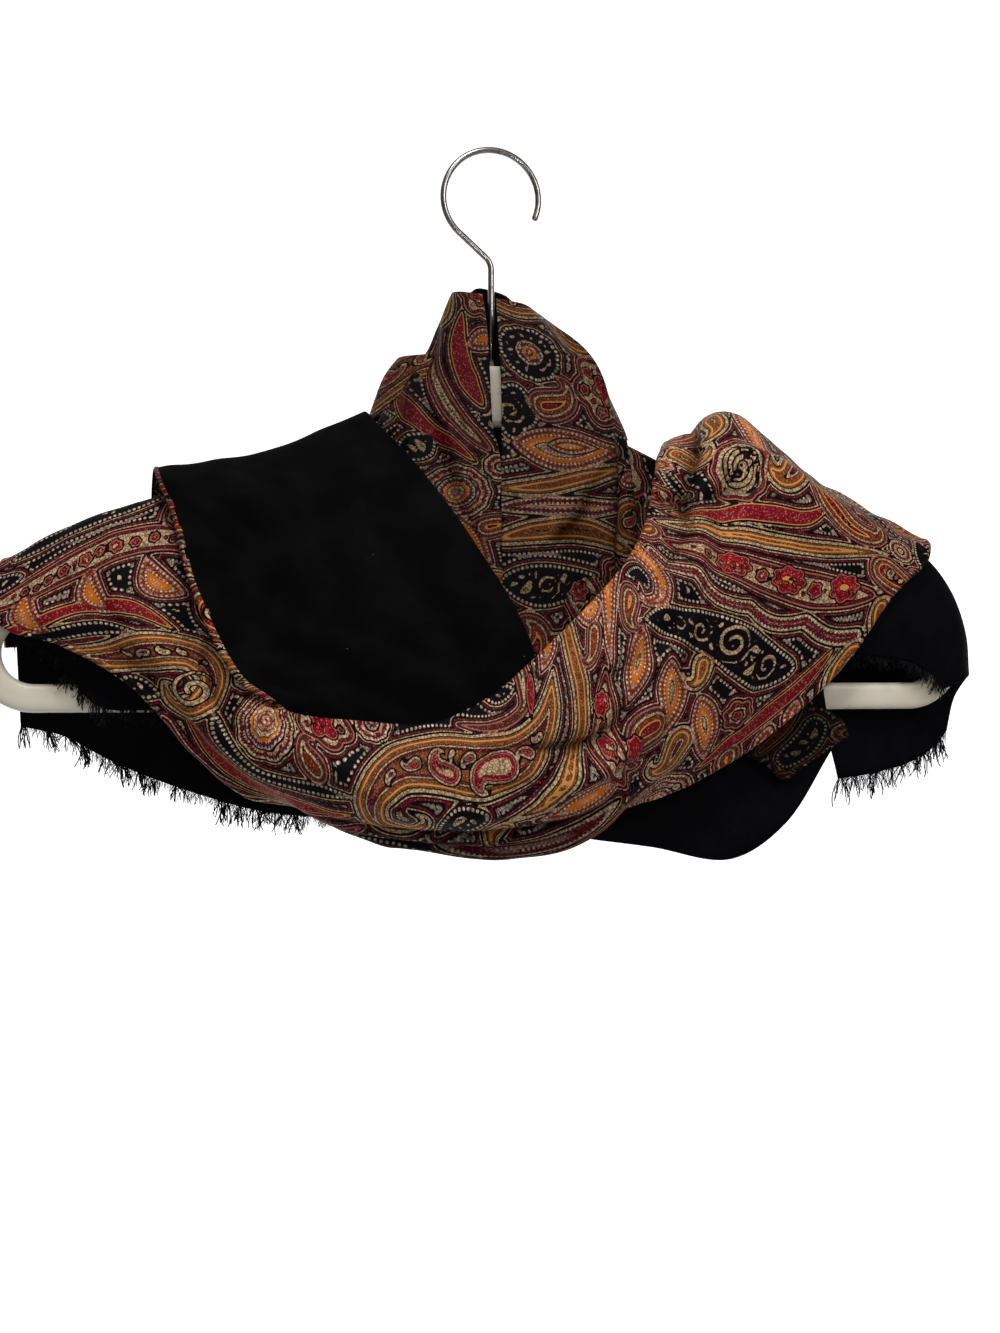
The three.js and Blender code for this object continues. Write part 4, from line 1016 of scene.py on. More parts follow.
BAND_LARGE = [
    # over the left arm
    along_line(CRESCENT, [(103, 62), (104, 40), (101, 15), (108, -4), (124, -12)], (4, 6, 5, 8, 3)),
    along_line(CREAM, [(89, 62), (86, 36), (81, 8), (80, -16), (88, -34), (104, -44)],
               (8, 12, 14, 13, 10, 5)),
    along_line(NIGHT, [(112, 56), (111, 34), (112, 12), (120, 0)], (6, 8, 7, 3)),
    along_line(NIGHT, [(64, 44), (63, 20), (60, -6), (58, -30)], (9, 7, 10, 8)),
    (LEAF, placed(leaf(30, 13, 3), 96, 34, 84)),
    (LEAF, placed(leaf(26, 12, 3), 95, 6, 78)),
    (LEAF, placed(leaf(26, 13, 3), 98, -20, 62)),
    along_line(GOLD, [(122, 40), (127, 22), (128, 4), (138, -10), (152, -10), (158, 2), (151, 11),
                      (144, 7), (146, 2)], (14, 18, 20, 18, 15, 13, 9, 5, 1)),
    (PLUM, placed(lobed(15, 10, 0.06, 1.15), 188, -15, 10)),
    along_line(NIGHT, [(164, -2), (178, 3), (198, 5), (222, -5), (238, -10)], (5, 6, 5, 6, 3)),
    along_line(CRESCENT, [(158, 8), (178, 13), (200, 15), (222, 8), (238, 0)], (4, 7, 8, 7, 3)),
    along_line(AMBER, [(156, 19), (178, 24), (202, 26), (226, 19), (243, 8)], (5, 8, 8, 8, 4)),
    along_line(PLUM, [(168, 34), (192, 37), (218, 35), (246, 24), (262, 20)], (4, 8, 8, 8, 4)),
    # the swag
    (CREAM, placed(lobed(13, 6, 0.16, 1.2), 215, -32, 0)),
    along_line(GOLD, [(336, -58), (327, -40), (312, -30), (292, -28), (270, -30), (252, -25), (243, -12),
                      (248, 1), (261, 2), (266, -7), (258, -11)],
               (9, 17, 25, 29, 27, 22, 17, 13, 9, 6, 2), steps=FINEST_STEPS),
    along_line(AMBER, [(316, -78), (318, -62), (316, -48), (300, -44), (280, -48)], (9, 8, 6, 5, 3)),
    along_line(GOLD, [(350, -80), (349, -60), (347, -38), (338, -20), (318, -8), (296, -4)],
               (11, 11, 11, 10, 9, 4)),
    (NIGHT, placed(leaf(22, 9, 2), 303, -60, 100)),
    (LEAF, placed(leaf(44, 13, -3), 332, 4, 98)),
    (CREAM, placed(leaf(52, 17, -7), 359, -10, 10)),
    along_line(PLUM, [(270, 13), (296, 14), (322, 15), (350, 16)], (4, 8, 8, 4)),
    along_line(CRESCENT, [(288, 25), (312, 27), (340, 27), (362, 26)], (3, 6, 6, 3)),
    along_line(AMBER, [(266, 26), (290, 36), (318, 38), (346, 38)], (3, 8, 8, 4)),
    # the fan
    along_line(LEAF, [(366, -32), (376, -48), (390, -62), (408, -66), (424, -58), (424, -42), (412, -36),
                      (404, -42), (408, -48)], (4, 10, 14, 15, 14, 11, 8, 5, 1), steps=FINE_STEPS),
    (LEAF, placed(leaf(31, 15, 1), 381, -25, 52)),
    (LEAF, placed(leaf(34, 16, 1), 389, -3, 40)),
    (LEAF, placed(leaf(34, 15, 1), 395, 22, 22)),
    along_line(NIGHT, [(396, -36), (411, -26), (422, -10), (427, 8), (429, 24), (436, 40)],
               (8, 14, 20, 22, 20, 11)),
    (PLUM, scallops([(434, -54), (440, -30), (444, 0), (452, 30), (458, 62)], 4, 3.5, 6.5)),
    along_line(CREAM, [(446, -50), (455, -28), (459, -2), (464, 28), (472, 60)], (7, 12, 14, 15, 10)),
    along_line(GOLD, [(456, -56), (470, -30), (476, -2), (484, 28), (498, 62)], (5, 8, 9, 9, 6)),
    along_line(CRESCENT, [(468, -52), (480, -28), (487, -6), (494, 14), (508, 27)], (3, 7, 8, 7, 3)),
    (CREAM, placed(lobed(13.5, 7, 0.08), 500, -22, 0)),
    along_line(AMBER, [(530, 0), (519, 14), (508, 26), (501, 42), (505, 54), (514, 54), (517, 45), (512, 42)],
               (8, 13, 15, 14, 10, 7, 4, 1), steps=FINE_STEPS),
    along_line(NIGHT, [(484, -42), (490, -50), (500, -56)], (4, 6, 4)),
    (LEAF, placed(leaf(36, 14, 3), 520, -16, 76)),
    (LEAF, placed(leaf(30, 13, 2), 505, -62, 30)),
    along_line(CRESCENT, [(384, 39), (402, 39), (418, 43), (434, 48.5), (450, 52)], (3, 7, 8, 7, 3)),
]
BAND_MEDIUM = [
    (CURL, placed(swirl(9, 1.7, 2.6), 152, -1, 40)),
    (CURL, placed(swirl(9.5, 2.0, 2.4), 427, 2, 200)),
    (CURL, placed(swirl(6.5, 1.6, 2.0), 430, 25, 60)),
    (MEDALLION, placed(lobed(10.5, 10, 0.05, 1.15), 188, -15, 10)),
    (FLOWER, placed(lobed(7.5, 4, 0.4), 216, -30, 20)),
    (FLOWER, placed(lobed(5.5, 7, 0.25), 356, -26)),
    (FLOWER, placed(lobed(6.0, 7, 0.25), 362, 0)),
    (FLOWER, placed(lobed(6.0, 7, 0.22, 1.5), 458, -16, 80)),
    (FLOWER, placed(lobed(6.5, 7, 0.22, 1.5), 463, 12, 80)),
    (FLOWER, placed(lobed(6.5, 7, 0.22, 1.4), 470, 42, 70)),
    (CURL, placed(swirl(9.5, 2.1, 2.3), 500, -22, 120)),
    (PALE, placed(boteh(26, 4.2), 296, -27, 95)),
    (FLOWER, placed(leaf(22, 5), 321, -52, 10)),
    (PALE, placed(boteh(20, 4.2), 272, -27, 105, -1)),
]

LEFT_FALL_START = 400.0        # keeps the left fall's print apart from the right one's
COWL_LARGE = [
    (NIGHT, placed(lobed(13, 12, 0.05), 26, -8)),
    (NIGHT, placed(lobed(12, 5, 0.2, 1.1), 52, -24)),
    (LEAF, placed(leaf(52, 19, 2), 66, 0, 0)),
    along_line(GOLD, [(86, -38), (84, -14), (79, 6), (72, 30)], (6, 10, 10, 6)),
    along_line(PLUM, [(94, -36), (92, -12), (92, 10), (90, 28)], (5, 9, 9, 5)),
    along_line(GOLD, [(108, -38), (103, -16), (102, 8), (112, 34)], (8, 12, 12, 7)),
    (NIGHT, placed(leaf(46, 19, 3), 123, -12, 6)),
    (CREAM, placed(boteh(34, 4.4), 136, 6, -60)),
    along_line(CRESCENT, [(52, 44), (66, 40), (84, 52)], (3, 7, 5)),
    along_line(GOLD, [(148, -16), (150, 6), (156, 30)], (6, 9, 7)),
    along_line(CRESCENT, [(408, -10), (424, -13), (440, -9), (452, -3)], (3, 8, 9, 4)),
    along_line(AMBER, [(412, -24), (430, -26), (448, -20), (464, -10), (474, -3)], (5, 7, 8, 8, 5)),
    along_line(CRESCENT, [(444, -44), (456, -34), (468, -22), (480, -10)], (5, 9, 7, 3)),
    (NIGHT, placed(leaf(24, 14, 1), 471, -34, 40)),
    (PLUM, placed(lobed(15, 12, 0.05), 496, -19)),
    along_line(CREAM, [(462, -54), (480, -50), (498, -42), (514, -30)], (6, 11, 11, 6)),
    (LEAF, placed(leaf(34, 15, 2), 522, -12, -60)),
]
COWL_MEDIUM = [
    (MEDALLION, placed(lobed(6, 10, 0.05), 26, -8)),
    (MEDALLION, placed(lobed(8.5, 10, 0.05), 496, -19)),
    (PETAL, placed(leaf(24, 7), 66, 2, 0)),
]


# ---- grids ----

MEASURE_STEPS = 400


def even_places(sheet, low, high, across, pitch):
    """Row places from low to high that are about a pitch apart on the sheet."""
    rows = np.linspace(low, high, MEASURE_STEPS + 1)
    line = sheet(rows, [across])[:, 0]
    length = np.concatenate([[0], np.cumsum(np.linalg.norm(np.diff(line, axis=0), axis=1))])
    count = max(int(round(length[-1] / pitch)), 2)
    return np.interp(np.linspace(0, length[-1], count + 1), length, rows)


DEEPEST_CREASE = 9


def crease_depth(smooth, place_on, folds):
    """How deep the narrow troughs are at each point."""
    creases = [fold for fold in folds if fold[3] < 0 and fold[4] < CREASE_WIDE]
    return np.clip(-fold_heights(smooth, place_on, creases), 0, DEEPEST_CREASE)


HEM_WIDE, HEM_HIGH = 3.4, 1.5


def rolled(from_edge, wide, high):
    """The soft roll of a narrow hem, from the distance to its edge."""
    return np.sin(np.pi * np.clip(from_edge / wide, 0, 1)) ** 0.7 * high


def sheet_grid(sheet, rows, across, folds=(), seed=0, ripple=0.0, ripple_length=30, slant=0.0, roll=0.0):
    """The sheet's points with its folds, ripples and hems, and its flat places with the depth of creases."""
    def place_on(row, place):
        return sheet([row], [place])[0, 0]

    smooth = sheet(rows, across)
    flat = flat_places(smooth, len(across) // 2, len(across) // 2)
    height = fold_heights(smooth, place_on, folds)
    if ripple:
        height += ripples(flat, seed, ripple_length, ripple, slant)
    if roll:
        from_edge = np.minimum(flat[..., 1] - flat[:, :1, 1], flat[:, -1:, 1] - flat[..., 1])
        height += rolled(from_edge, HEM_WIDE, roll)
    # The depth of the narrow creases, which the print turns into painted shade.
    creases = crease_depth(smooth, place_on, folds)
    return smooth + normals_of(smooth) * height[..., None], np.dstack([flat, creases])


FINE, COARSE = 1.3, 2.2              # distances between the rows of points, in mm
band = loft(BAND, BAND_COLUMNS)
band_rows = np.concatenate([
    even_places(band, 0, 2, 0.5, COARSE)[:-1],
    even_places(band, 2, 18, 0.7, FINE)[:-1],
    even_places(band, 18, 20, 0.5, COARSE)])
BAND_EDGE = 0.04
band_places = np.concatenate([
    np.linspace(0, BAND_EDGE, 5)[:-1],
    np.linspace(BAND_EDGE, 1 - BAND_EDGE, 82),
    np.linspace(1 - BAND_EDGE, 1, 5)[1:]])
band_grid, band_flat = sheet_grid(band, band_rows, band_places, BAND_FOLDS, seed=7, ripple=1.1,
                                  ripple_length=19, slant=0.9, roll=0.7)
# Painted shade: the swag's lower side, below the crease above it, gets more crease depth, which the print
# darkens.
UNDER_ROW, UNDER_ROWS, UNDER_PLACE, UNDER_BOW = 10.9, 1.7, 0.545, 0.0155
UNDER_SHADE_DEPTH, UNDER_SOFT = 1.9, 0.03
rows_down = band_rows[:, None] - UNDER_ROW
under_shade = np.clip((band_places[None] - UNDER_PLACE - UNDER_BOW * rows_down ** 2) / UNDER_SOFT, 0, 1)
band_flat[..., 2] += UNDER_SHADE_DEPTH * under_shade * np.exp(-(rows_down / UNDER_ROWS) ** 4)
band_print = printed(band_flat, 3, BAND_LARGE, BAND_MEDIUM, flow=70)

FLAP_PITCH, FLAP_EDGE = 2.0, 0.05
flap = loft(FLAP, FLAP_COLUMNS)
flap_rows = even_places(flap, 0, 9, 0.5, FLAP_PITCH)
flap_places = np.concatenate([np.linspace(0, FLAP_EDGE, 8)[:-1], np.linspace(FLAP_EDGE, 1, 60)])
flap_grid, flap_flat = sheet_grid(flap, flap_rows, flap_places, FLAP_FOLDS, seed=11, ripple=0.9,
                                  ripple_length=22)
# The flap's hem is narrow at the top and widens on its way down. Painted shade: more crease depth on the flap,
# most at the top, darkens its print.
HEM_GROWS_FROM, HEM_GROWS_OVER, HEM_LEAST, HEM_GROWTH = 3, 2.4, 0.45, 0.4
HEM_PAINTED_SHADE, HEM_TOP_PAINTED_SHADE = 0.9, 3.2
HEM_WAVE, HEM_WAVE_RATE = 0.12, 0.35
from_edge = flap_flat[..., 1] - flap_flat[:, :1, 1]
down_hem = np.clip((flap_rows[:, None] - HEM_GROWS_FROM) / HEM_GROWS_OVER, 0, 1)
hem_size = HEM_LEAST + HEM_GROWTH * down_hem
hem_wide = HEM_WIDE * hem_size
# Painted shade on the flap's print, deepest at the top.
flap_flat[..., 2] += HEM_TOP_PAINTED_SHADE * (1 - down_hem) + HEM_PAINTED_SHADE
flap_grid = flap_grid - normals_of(flap_grid) * (rolled(from_edge, hem_wide, HEM_HIGH) * hem_size)[..., None]
hem_uneven = hem_wide * (1 + HEM_WAVE * np.sin(flap_flat[..., 0] * HEM_WAVE_RATE))
flap_hem = (from_edge < hem_uneven)[:-1, 1:]
flap_print = printed(flap_flat, 13)

# The stretches round the cowl in the order of their turns, and how many cells each has.
RIGHT_FRONT, RIGHT_GAP, BACK, LEFT_GAP, LEFT_FRONT = range(5)
COWL_CELLS = {RIGHT_FRONT: 58, RIGHT_GAP: 22, BACK: 70, LEFT_GAP: 22, LEFT_FRONT: 58}
RIM_CELLS, FALL_CELLS = 51, 83
FULL_TURN = 2 * math.pi


def slit_right(row):
    return slit_turn(COWL, row, "slitRight")


def slit_left(row):
    return slit_turn(COWL, row, "slitLeft")


def cowl_columns():
    """The cowl's rows, the turns round it at each row, and the stretch that each column belongs to."""
    rows = np.concatenate([np.linspace(0, RIM_ROWS, RIM_CELLS + 1)[:-1],
                           np.linspace(RIM_ROWS, LAST_ROW, FALL_CELLS + 1)])
    marks = [slit_right(rows), COWL_REACH, COWL_BACK, FULL_TURN - COWL_BACK, FULL_TURN - COWL_REACH,
             slit_left(rows) + FULL_TURN]
    turns, sector = [], []
    for k, count in COWL_CELLS.items():
        part = np.linspace(0, 1, count + 1)[:None if k == LEFT_FRONT else -1]
        low, high = (np.broadcast_to(mark, rows.shape)[:, None] for mark in marks[k:k + 2])
        turns.append(low + (high - low) * part)
        sector += [k] * len(part)
    return rows, np.concatenate(turns, axis=1), np.array(sector)


cowl_rows, cowl_turns, cowl_sector = cowl_columns()
hem_row = np.full(cowl_sector.shape, RIGHT_HEM_ROW)
hem_row[cowl_sector == LEFT_FRONT] = LEFT_HEM_ROW
back = cowl_sector == BACK
back_arch = np.sin(np.pi * np.linspace(0.15, 0.85, back.sum())) ** 2
hem_row[back] = BACK_HEM_SHORT + (BACK_HEM_LONG - BACK_HEM_SHORT) * back_arch
rows_below = cowl_rows[:, None] - RIM_ROWS
cowl_row_grid = np.where(rows_below > 0,
                         RIM_ROWS + rows_below * (hem_row - RIM_ROWS) / (LAST_ROW - RIM_ROWS),
                         cowl_rows[:, None])
cowl_smooth = ring_points(COWL, cowl_row_grid, cowl_turns)
ALONG_COLUMN, ACROSS_COLUMN = 20, 23
cowl_flat = flat_places(cowl_smooth, ALONG_COLUMN, ACROSS_COLUMN)
# The rim rises behind the hook and closes the top of the slit.
RIM_RISE, RISE_WIDE, RISE_ROWS = 9.0, 0.62, 2.2
rise_round = np.exp(-((cowl_turns - math.pi) / RISE_WIDE) ** 4)
rise_down = np.clip(1 - cowl_rows / RISE_ROWS, 0, 1)[:, None]
cowl_smooth[..., 2] += RIM_RISE * (rise_round * rise_down)
left_columns = cowl_sector >= LEFT_GAP
cowl_flat[:, left_columns, 1] -= cowl_flat[:, -1:, 1]
cowl_flat[:, left_columns, 0] += LEFT_FALL_START


def cowl_place(turn_from, turn_to):
    """A function for places on a stretch of the cowl between two turns, which may change with the row."""
    def place(row, across):
        row = np.array([row])
        low, high = turn_from(row), turn_to(row)
        return ring_points(COWL, row, low + (high - low) * across)[0]
    return place


cowl_height, cowl_creases = np.zeros((2, *cowl_smooth.shape[:2]))
for folds, turn_from, turn_to in (
        (COLLAR_FOLDS, slit_right, lambda row: slit_left(row) + FULL_TURN),
        (NECK_LEFT_FOLDS, lambda row: -COWL_SIDE, slit_left),
        (NECK_RIGHT_FOLDS, slit_right, lambda row: COWL_SIDE),
        (BACK_FOLDS, lambda row: COWL_BACK, lambda row: FULL_TURN - COWL_BACK)):
    place_on = cowl_place(turn_from, turn_to)
    cowl_height += fold_heights(cowl_smooth, place_on, folds)
    cowl_creases += crease_depth(cowl_smooth, place_on, folds)
cowl_height += ripples(cowl_flat, 17, 16, 0.9, 0.2)
cowl_grid = cowl_smooth + normals_of(cowl_smooth) * cowl_height[..., None]
# The depth of the cowl's creases, which the print turns into painted shade.
cowl_flat = np.dstack([cowl_flat, cowl_creases])
cowl_print = printed(cowl_flat, 5, COWL_LARGE, COWL_MEDIUM)
below_rim = cowl_rows[:-1, None] >= RIM_ROWS - 1e-6
cowl_keep = ~(below_rim & np.isin(cowl_sector[:-1], (RIGHT_GAP, LEFT_GAP))[None])


def shoulder(rows, across):
    """The layer round the left shoulder, as a function of rows and places across."""
    low, high = SHOULDER_TURNS
    turns = low + (high - low) * np.asarray(across)
    return ring_points(SHOULDER, np.asarray(rows, float)[:, None], turns[None])


shoulder_grid, shoulder_flat = sheet_grid(shoulder, np.linspace(0, 2, 26), np.linspace(0, 1, 140))
shoulder_print = printed(shoulder_flat, 9)

corner = loft(CORNER, ("high", "low"))
corner_grid, corner_flat = sheet_grid(corner, np.linspace(0, 4, 60), np.linspace(0, 1, 40), roll=0.8)
corner_print = printed(corner_flat, 21, [
    along_line(NIGHT, [(2, -14), (8, 0), (10, 16)], (8, 11, 9)),
    along_line(CRESCENT, [(22, -16), (24, 0), (22, 16)], (4, 5, 4)),
    along_line(NIGHT, [(33, -15), (36, 0), (33, 15)], (11, 13, 10))])

left_end = loft([arm_section(row) for row in LEFT_END], SECTION)
left_end_grid, left_end_flat = sheet_grid(left_end, even_places(left_end, 0, 8, 0.5, COARSE),
                                          np.linspace(0, 1, 90))
lower_tail = loft([arm_section(row) for row in LOWER_TAIL], SECTION)
tail_grid, tail_flat = sheet_grid(lower_tail, even_places(lower_tail, 0, 4, 0.3, COARSE),
                                  np.linspace(0, 1, 140))
tail_print = printed(tail_flat, 31, [
    along_line(CRESCENT, [(0, 60), (6, 72), (14, 84), (24, 96)], (7, 8, 8, 6)),
    along_line(NIGHT, [(12, 62), (20, 70), (28, 82)], (9, 13, 8))], flow=60)
RIGHT_END_PITCH = 1.8
right_end = loft(RIGHT_END, RIGHT_END_COLUMNS)
right_end_grid, right_end_flat = sheet_grid(right_end, even_places(right_end, 0, 5, 0.5, RIGHT_END_PITCH),
                                            np.linspace(0, 1, 80))


# ---- frayed ends: loose threads along the raw hems, from geometry nodes ----

THREAD_LEAN, THREAD_STRAY = (2.4, 3.8, 1.0), (0.13, 0.13, 3.1)     # how far a clump and one thread turn
THREAD_BEND = (0.22, 0.05, -0.6)                                 # where a thread bends, as parts of its length
THREAD_RADIUS, THREAD_ROOT, THREAD_TAPER = 0.00018, 0.0004, 0.8
CLUMP_SCALE, GATHER_SCALE = 190.0, 260.0
THREAD_INPUTS = {"Line": "NodeSocketGeometry", "Threads": "NodeSocketInt", "Length": "NodeSocketFloat",
                 "Seed": "NodeSocketInt"}


class ThreadNodes(Nodes):
    """The geometry node group that grows threads from a line of edges."""

    def __init__(self, material):
        self.tree = bpy.data.node_groups.new("frayed_threads", "GeometryNodeTree")
        socket = self.tree.interface.new_socket
        self.inputs = {name: socket(name, in_out="INPUT", socket_type=kind).identifier
                       for name, kind in THREAD_INPUTS.items()}
        socket("Cloth", in_out="OUTPUT", socket_type="NodeSocketGeometry")
        given = self.tree.nodes.new("NodeGroupInput")
        line, threads, length, seed = (Value(self, given.outputs[k]) for k in range(4))
        curve = self.add("GeometryNodeMeshToCurve", inputs={0: line})
        roots = self.add("GeometryNodeResampleCurve", inputs={"Curve": curve, "Count": threads})

        place = self.add("GeometryNodeInputPosition")
        clump = self.add("ShaderNodeTexNoise", inputs={"Vector": place, "Scale": CLUMP_SCALE, "Detail": 1.0},
                         output=1)
        lean = self.vector("MULTIPLY", self.vector("SUBTRACT", clump, (0.5, 0.5, 0.5)), THREAD_LEAN)
        stray = self.add("FunctionNodeRandomValue", {"data_type": "FLOAT_VECTOR"},
                         {0: tuple(-turn for turn in THREAD_STRAY), 1: THREAD_STRAY, "Seed": seed})
        gather = self.add("ShaderNodeTexNoise", inputs={"Vector": place, "Scale": GATHER_SCALE, "Detail": 1.0})
        gathered = self.add("ShaderNodeMapRange", inputs={0: gather, 1: 0.36, 2: 0.66})
        sizes = self.add("FunctionNodeRandomValue", {"data_type": "FLOAT"}, {2: 0.55, 3: 1.15, "Seed": seed},
                         output=1)
        size = sizes * (0.4 + gathered * 0.95)

        bend = self.point(*(length * part for part in THREAD_BEND))
        path = self.add("GeometryNodeCurveQuadraticBezier",
                        inputs={"Resolution": 6, "Start": (0, 0, THREAD_ROOT), "Middle": bend,
                                "End": self.point(0.0, 0.0, 0 - length)})
        taper = 1 - self.add("GeometryNodeSplineParameter") * THREAD_TAPER
        path = self.add("GeometryNodeSetCurveRadius", inputs={"Curve": path, "Radius": taper})
        ring = self.add("GeometryNodeCurvePrimitiveCircle", inputs={"Resolution": 4, "Radius": THREAD_RADIUS})
        thread = self.add("GeometryNodeCurveToMesh",
                          inputs={"Curve": path, "Profile Curve": ring, "Fill Caps": True})
        turn = self.vector("ADD", lean, stray)
        grown = self.add("GeometryNodeInstanceOnPoints",
                         inputs={"Points": roots, "Instance": thread, "Rotation": turn,
                                 "Scale": self.point(size, size, size)})
        real = self.add("GeometryNodeRealizeInstances", inputs={0: grown})
        done = self.add("GeometryNodeSetMaterial", inputs={0: real, "Material": material})
        self.add("NodeGroupOutput", inputs={0: done})

    def vector(self, operation, *values):
        return self.add("ShaderNodeVectorMath", {"operation": operation}, dict(enumerate(values)))


THREAD_DARK, THREAD_PALE = (0.003, 0.003, 0.004), (0.011, 0.011, 0.014)


def thread_finish():
    """Black wool yarn, a little paler in places."""
    nodes = Nodes("frayed_thread")
    cloudy = nodes.smooth(nodes.noise(nodes.object_place(), 300.0), 0.4, 0.7)
    shade = nodes.blend(THREAD_DARK, THREAD_PALE, cloudy)
    return nodes.surface(Base_Color=shade, Roughness=0.85, Specular_IOR_Level=0.1)


THREADS = ThreadNodes(thread_finish())


def dress(obj, slot, *nodes):
    """Says what a piece rides on and hides the solids it stands for; the slot, what it is made of, is not
    used.
    """
    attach(obj, "root")
    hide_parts(*nodes)


def fringe(name, node, hem, per_mm, length, seed):
    """Loose threads along a line of points in millimetres."""
    mesh = bpy.data.meshes.new(name)
    mesh.from_pydata([tuple(point) for point in hem * MM], [(k, k + 1) for k in range(len(hem) - 1)], [])
    obj = bpy.data.objects.new(name, mesh)
    bpy.context.scene.collection.objects.link(obj)
    total = np.linalg.norm(np.diff(hem, axis=0), axis=1).sum()
    modifier = obj.modifiers.new("threads", "NODES")
    modifier.node_group = THREADS.tree
    for key, value in (("Threads", int(total * per_mm)), ("Length", length * MM), ("Seed", seed)):
        modifier[THREADS.inputs[key]] = value
    grown = obj.evaluated_get(bpy.context.evaluated_depsgraph_get())
    obj.data = bpy.data.meshes.new_from_object(grown)
    obj.modifiers.clear()
    dress(obj, "black_wool", node)
    return obj


left_threads = [
    fringe("left_back_threads", "fringe_left_back", left_end_grid[:, -1], 5.4, 7.2, 3),
    fringe("left_front_threads", "fringe_left_front", left_end_grid[:, 0], 4.8, 6.6, 5)]
right_threads = [
    fringe("right_back_threads", "fringe_right_back", right_end_grid[:, -1], 5.6, 9.0, 7),
    fringe("right_front_threads", "fringe_right_front", right_end_grid[:, 0], 4.8, 7.0, 9)]


# ---- the cloth's pieces ----

def cloth_piece(name, grid, flat, nodes, faces, slot, cut, held, rests_on, with_pieces=(), patterns=None,
                turn=False, **masks):
    """One piece of cloth. Turn puts its columns the other way round, so that its other side is the outside."""
    arrays = {"grid": grid, "flat": flat, **masks}
    patterns = patterns or {}
    if turn:
        arrays = {key: values[:, ::-1] for key, values in arrays.items()}
        patterns = {key: values[:, ::-1] for key, values in patterns.items()}
    obj = shell(name, patterns=patterns, **arrays)
    finish_with(obj, *faces)
    dress(obj, slot, *nodes)


cloth_piece("band_cloth", band_grid, band_flat, ("left_sweep", "front_swag", "right_fan"), (PRINT, WOOL),
            "printed_silk", (0.13, 0.56), "draped", ["hanger_body"], patterns=band_print)
cloth_piece("flap_cloth", flap_grid, flap_flat, ("left_flap",), (WOOL, PRINT), "black_wool",
            (0.11, 0.24), "draped", ["hanger_body"], patterns=flap_print, turn=True, hem=flap_hem)
cloth_piece("cowl_cloth", cowl_grid, cowl_flat, ("collar", "neck_left", "neck_right", "back_fall"),
            (SHADED_PRINT, WOOL), "printed_silk", (0.17, 0.26), "draped", ["hanger_body"],
            patterns=cowl_print, turn=True, keep=cowl_keep)
cloth_piece("shoulder_cloth", shoulder_grid, shoulder_flat, ("left_shoulder",), (SHADED_PRINT, WOOL),
            "printed_silk", (0.03, 0.14), "draped", ["hanger_body"], patterns=shoulder_print, turn=True)
cloth_piece("corner_cloth", corner_grid, corner_flat, ("printed_corner",), (DEEP_SHADE_PRINT, WOOL), "printed_silk",
            (0.03, 0.05), "laid", ["tail_cloth"], patterns=corner_print)
cloth_piece("left_end_cloth", left_end_grid, left_end_flat, ("left_end",), (END_CLOTH, END_CLOTH),
            "black_wool", (0.16, 0.22), "draped", ["hanger_body"], left_threads, turn=True)
# The tail is turned over where it comes from behind the neck, so its printed face shows there.
tail_x, tail_y, tail_z = np.moveaxis(tail_grid, -1, 0)
TURNED_X, TURNED_Y, TURNED_Z = 86, 1, -205
tail_turned = ((tail_x < TURNED_X) & (tail_y < TURNED_Y) & (tail_z > TURNED_Z))[:-1, 1:]
cloth_piece("tail_cloth", tail_grid, tail_flat, ("lower_tail",), (END_CLOTH, SHADED_PRINT), "black_wool",
            (0.11, 0.27), "draped", ["hanger_body"], patterns=tail_print, turn=True, hem=tail_turned)
cloth_piece("right_end_cloth", right_end_grid, right_end_flat, ("right_end",), (END_CLOTH, END_CLOTH),
            "black_wool", (0.08, 0.13), "draped", ["hanger_body"], right_threads)


# ---- the hanger ----

def arc(centre_x, centre_z, radius, start, end, steps):
    """Points on an arc in the hanger's plane, between two angles in degrees."""
    angles = np.radians(np.linspace(start, end, steps + 1))
    return np.stack([centre_x + radius * np.cos(angles), centre_z + radius * np.sin(angles)], axis=1)


def round_section(high, deep, sides, power):
    """An oval, nearer to a rectangle the lower the power."""
    angle = 2 * np.pi * (np.arange(sides) + 0.5) / sides
    up, out = np.cos(angle), np.sin(angle)
    return np.stack([0.5 * high * np.sign(up) * np.abs(up) ** power,
                     0.5 * deep * np.sign(out) * np.abs(out) ** power], axis=1)


def joined_rings(name, rings, closed):
    """A tube through rings of points; an open one is capped with four-sided fans onto its middle."""
    rings = np.asarray(rings)
    count, sides = rings.shape[:2]
    at = np.arange(count * sides).reshape(count, sides)
    if closed:
        at = np.concatenate([at, at[:1]])
    around = np.concatenate([at, at[:, :1]], axis=1)
    faces = np.stack([around[:-1, :-1], around[:-1, 1:], around[1:, 1:], around[1:, :-1]], -1).reshape(-1, 4)
    points = rings.reshape(-1, 3)
    if not closed:
        half = np.arange(0, sides // 2 - 1)
        start = np.stack([half, half + 1, sides - 2 - half, sides - 1 - half], 1)
        faces = np.concatenate([faces, start[:, ::-1], start + (count - 1) * sides])
    return mesh_object(name, points * MM, faces)


def sweep_in_plane(name, path, section, closed, sizes=None):
    """A tube with one section along a path in the hanger's plane."""
    if closed:
        along = np.roll(path, -1, axis=0) - np.roll(path, 1, axis=0)
    else:
        along = np.gradient(path, axis=0)
    along /= np.linalg.norm(along, axis=1, keepdims=True)
    sizes = np.ones(len(path)) if sizes is None else np.asarray(sizes)
    up, out = section[:, 0] * sizes[:, None], section[:, 1] * sizes[:, None]
    rings = np.stack([path[:, :1] - along[:, 1:] * up, out, path[:, 1:] + along[:, :1] * up], axis=-1)
    return joined_rings(name, rings, closed)


def recalculated(obj):
    """Makes all faces look outwards."""
    shape = bmesh.new()
    shape.from_mesh(obj.data)
    bmesh.ops.recalc_face_normals(shape, faces=shape.faces)
    shape.to_mesh(obj.data)
    shape.free()


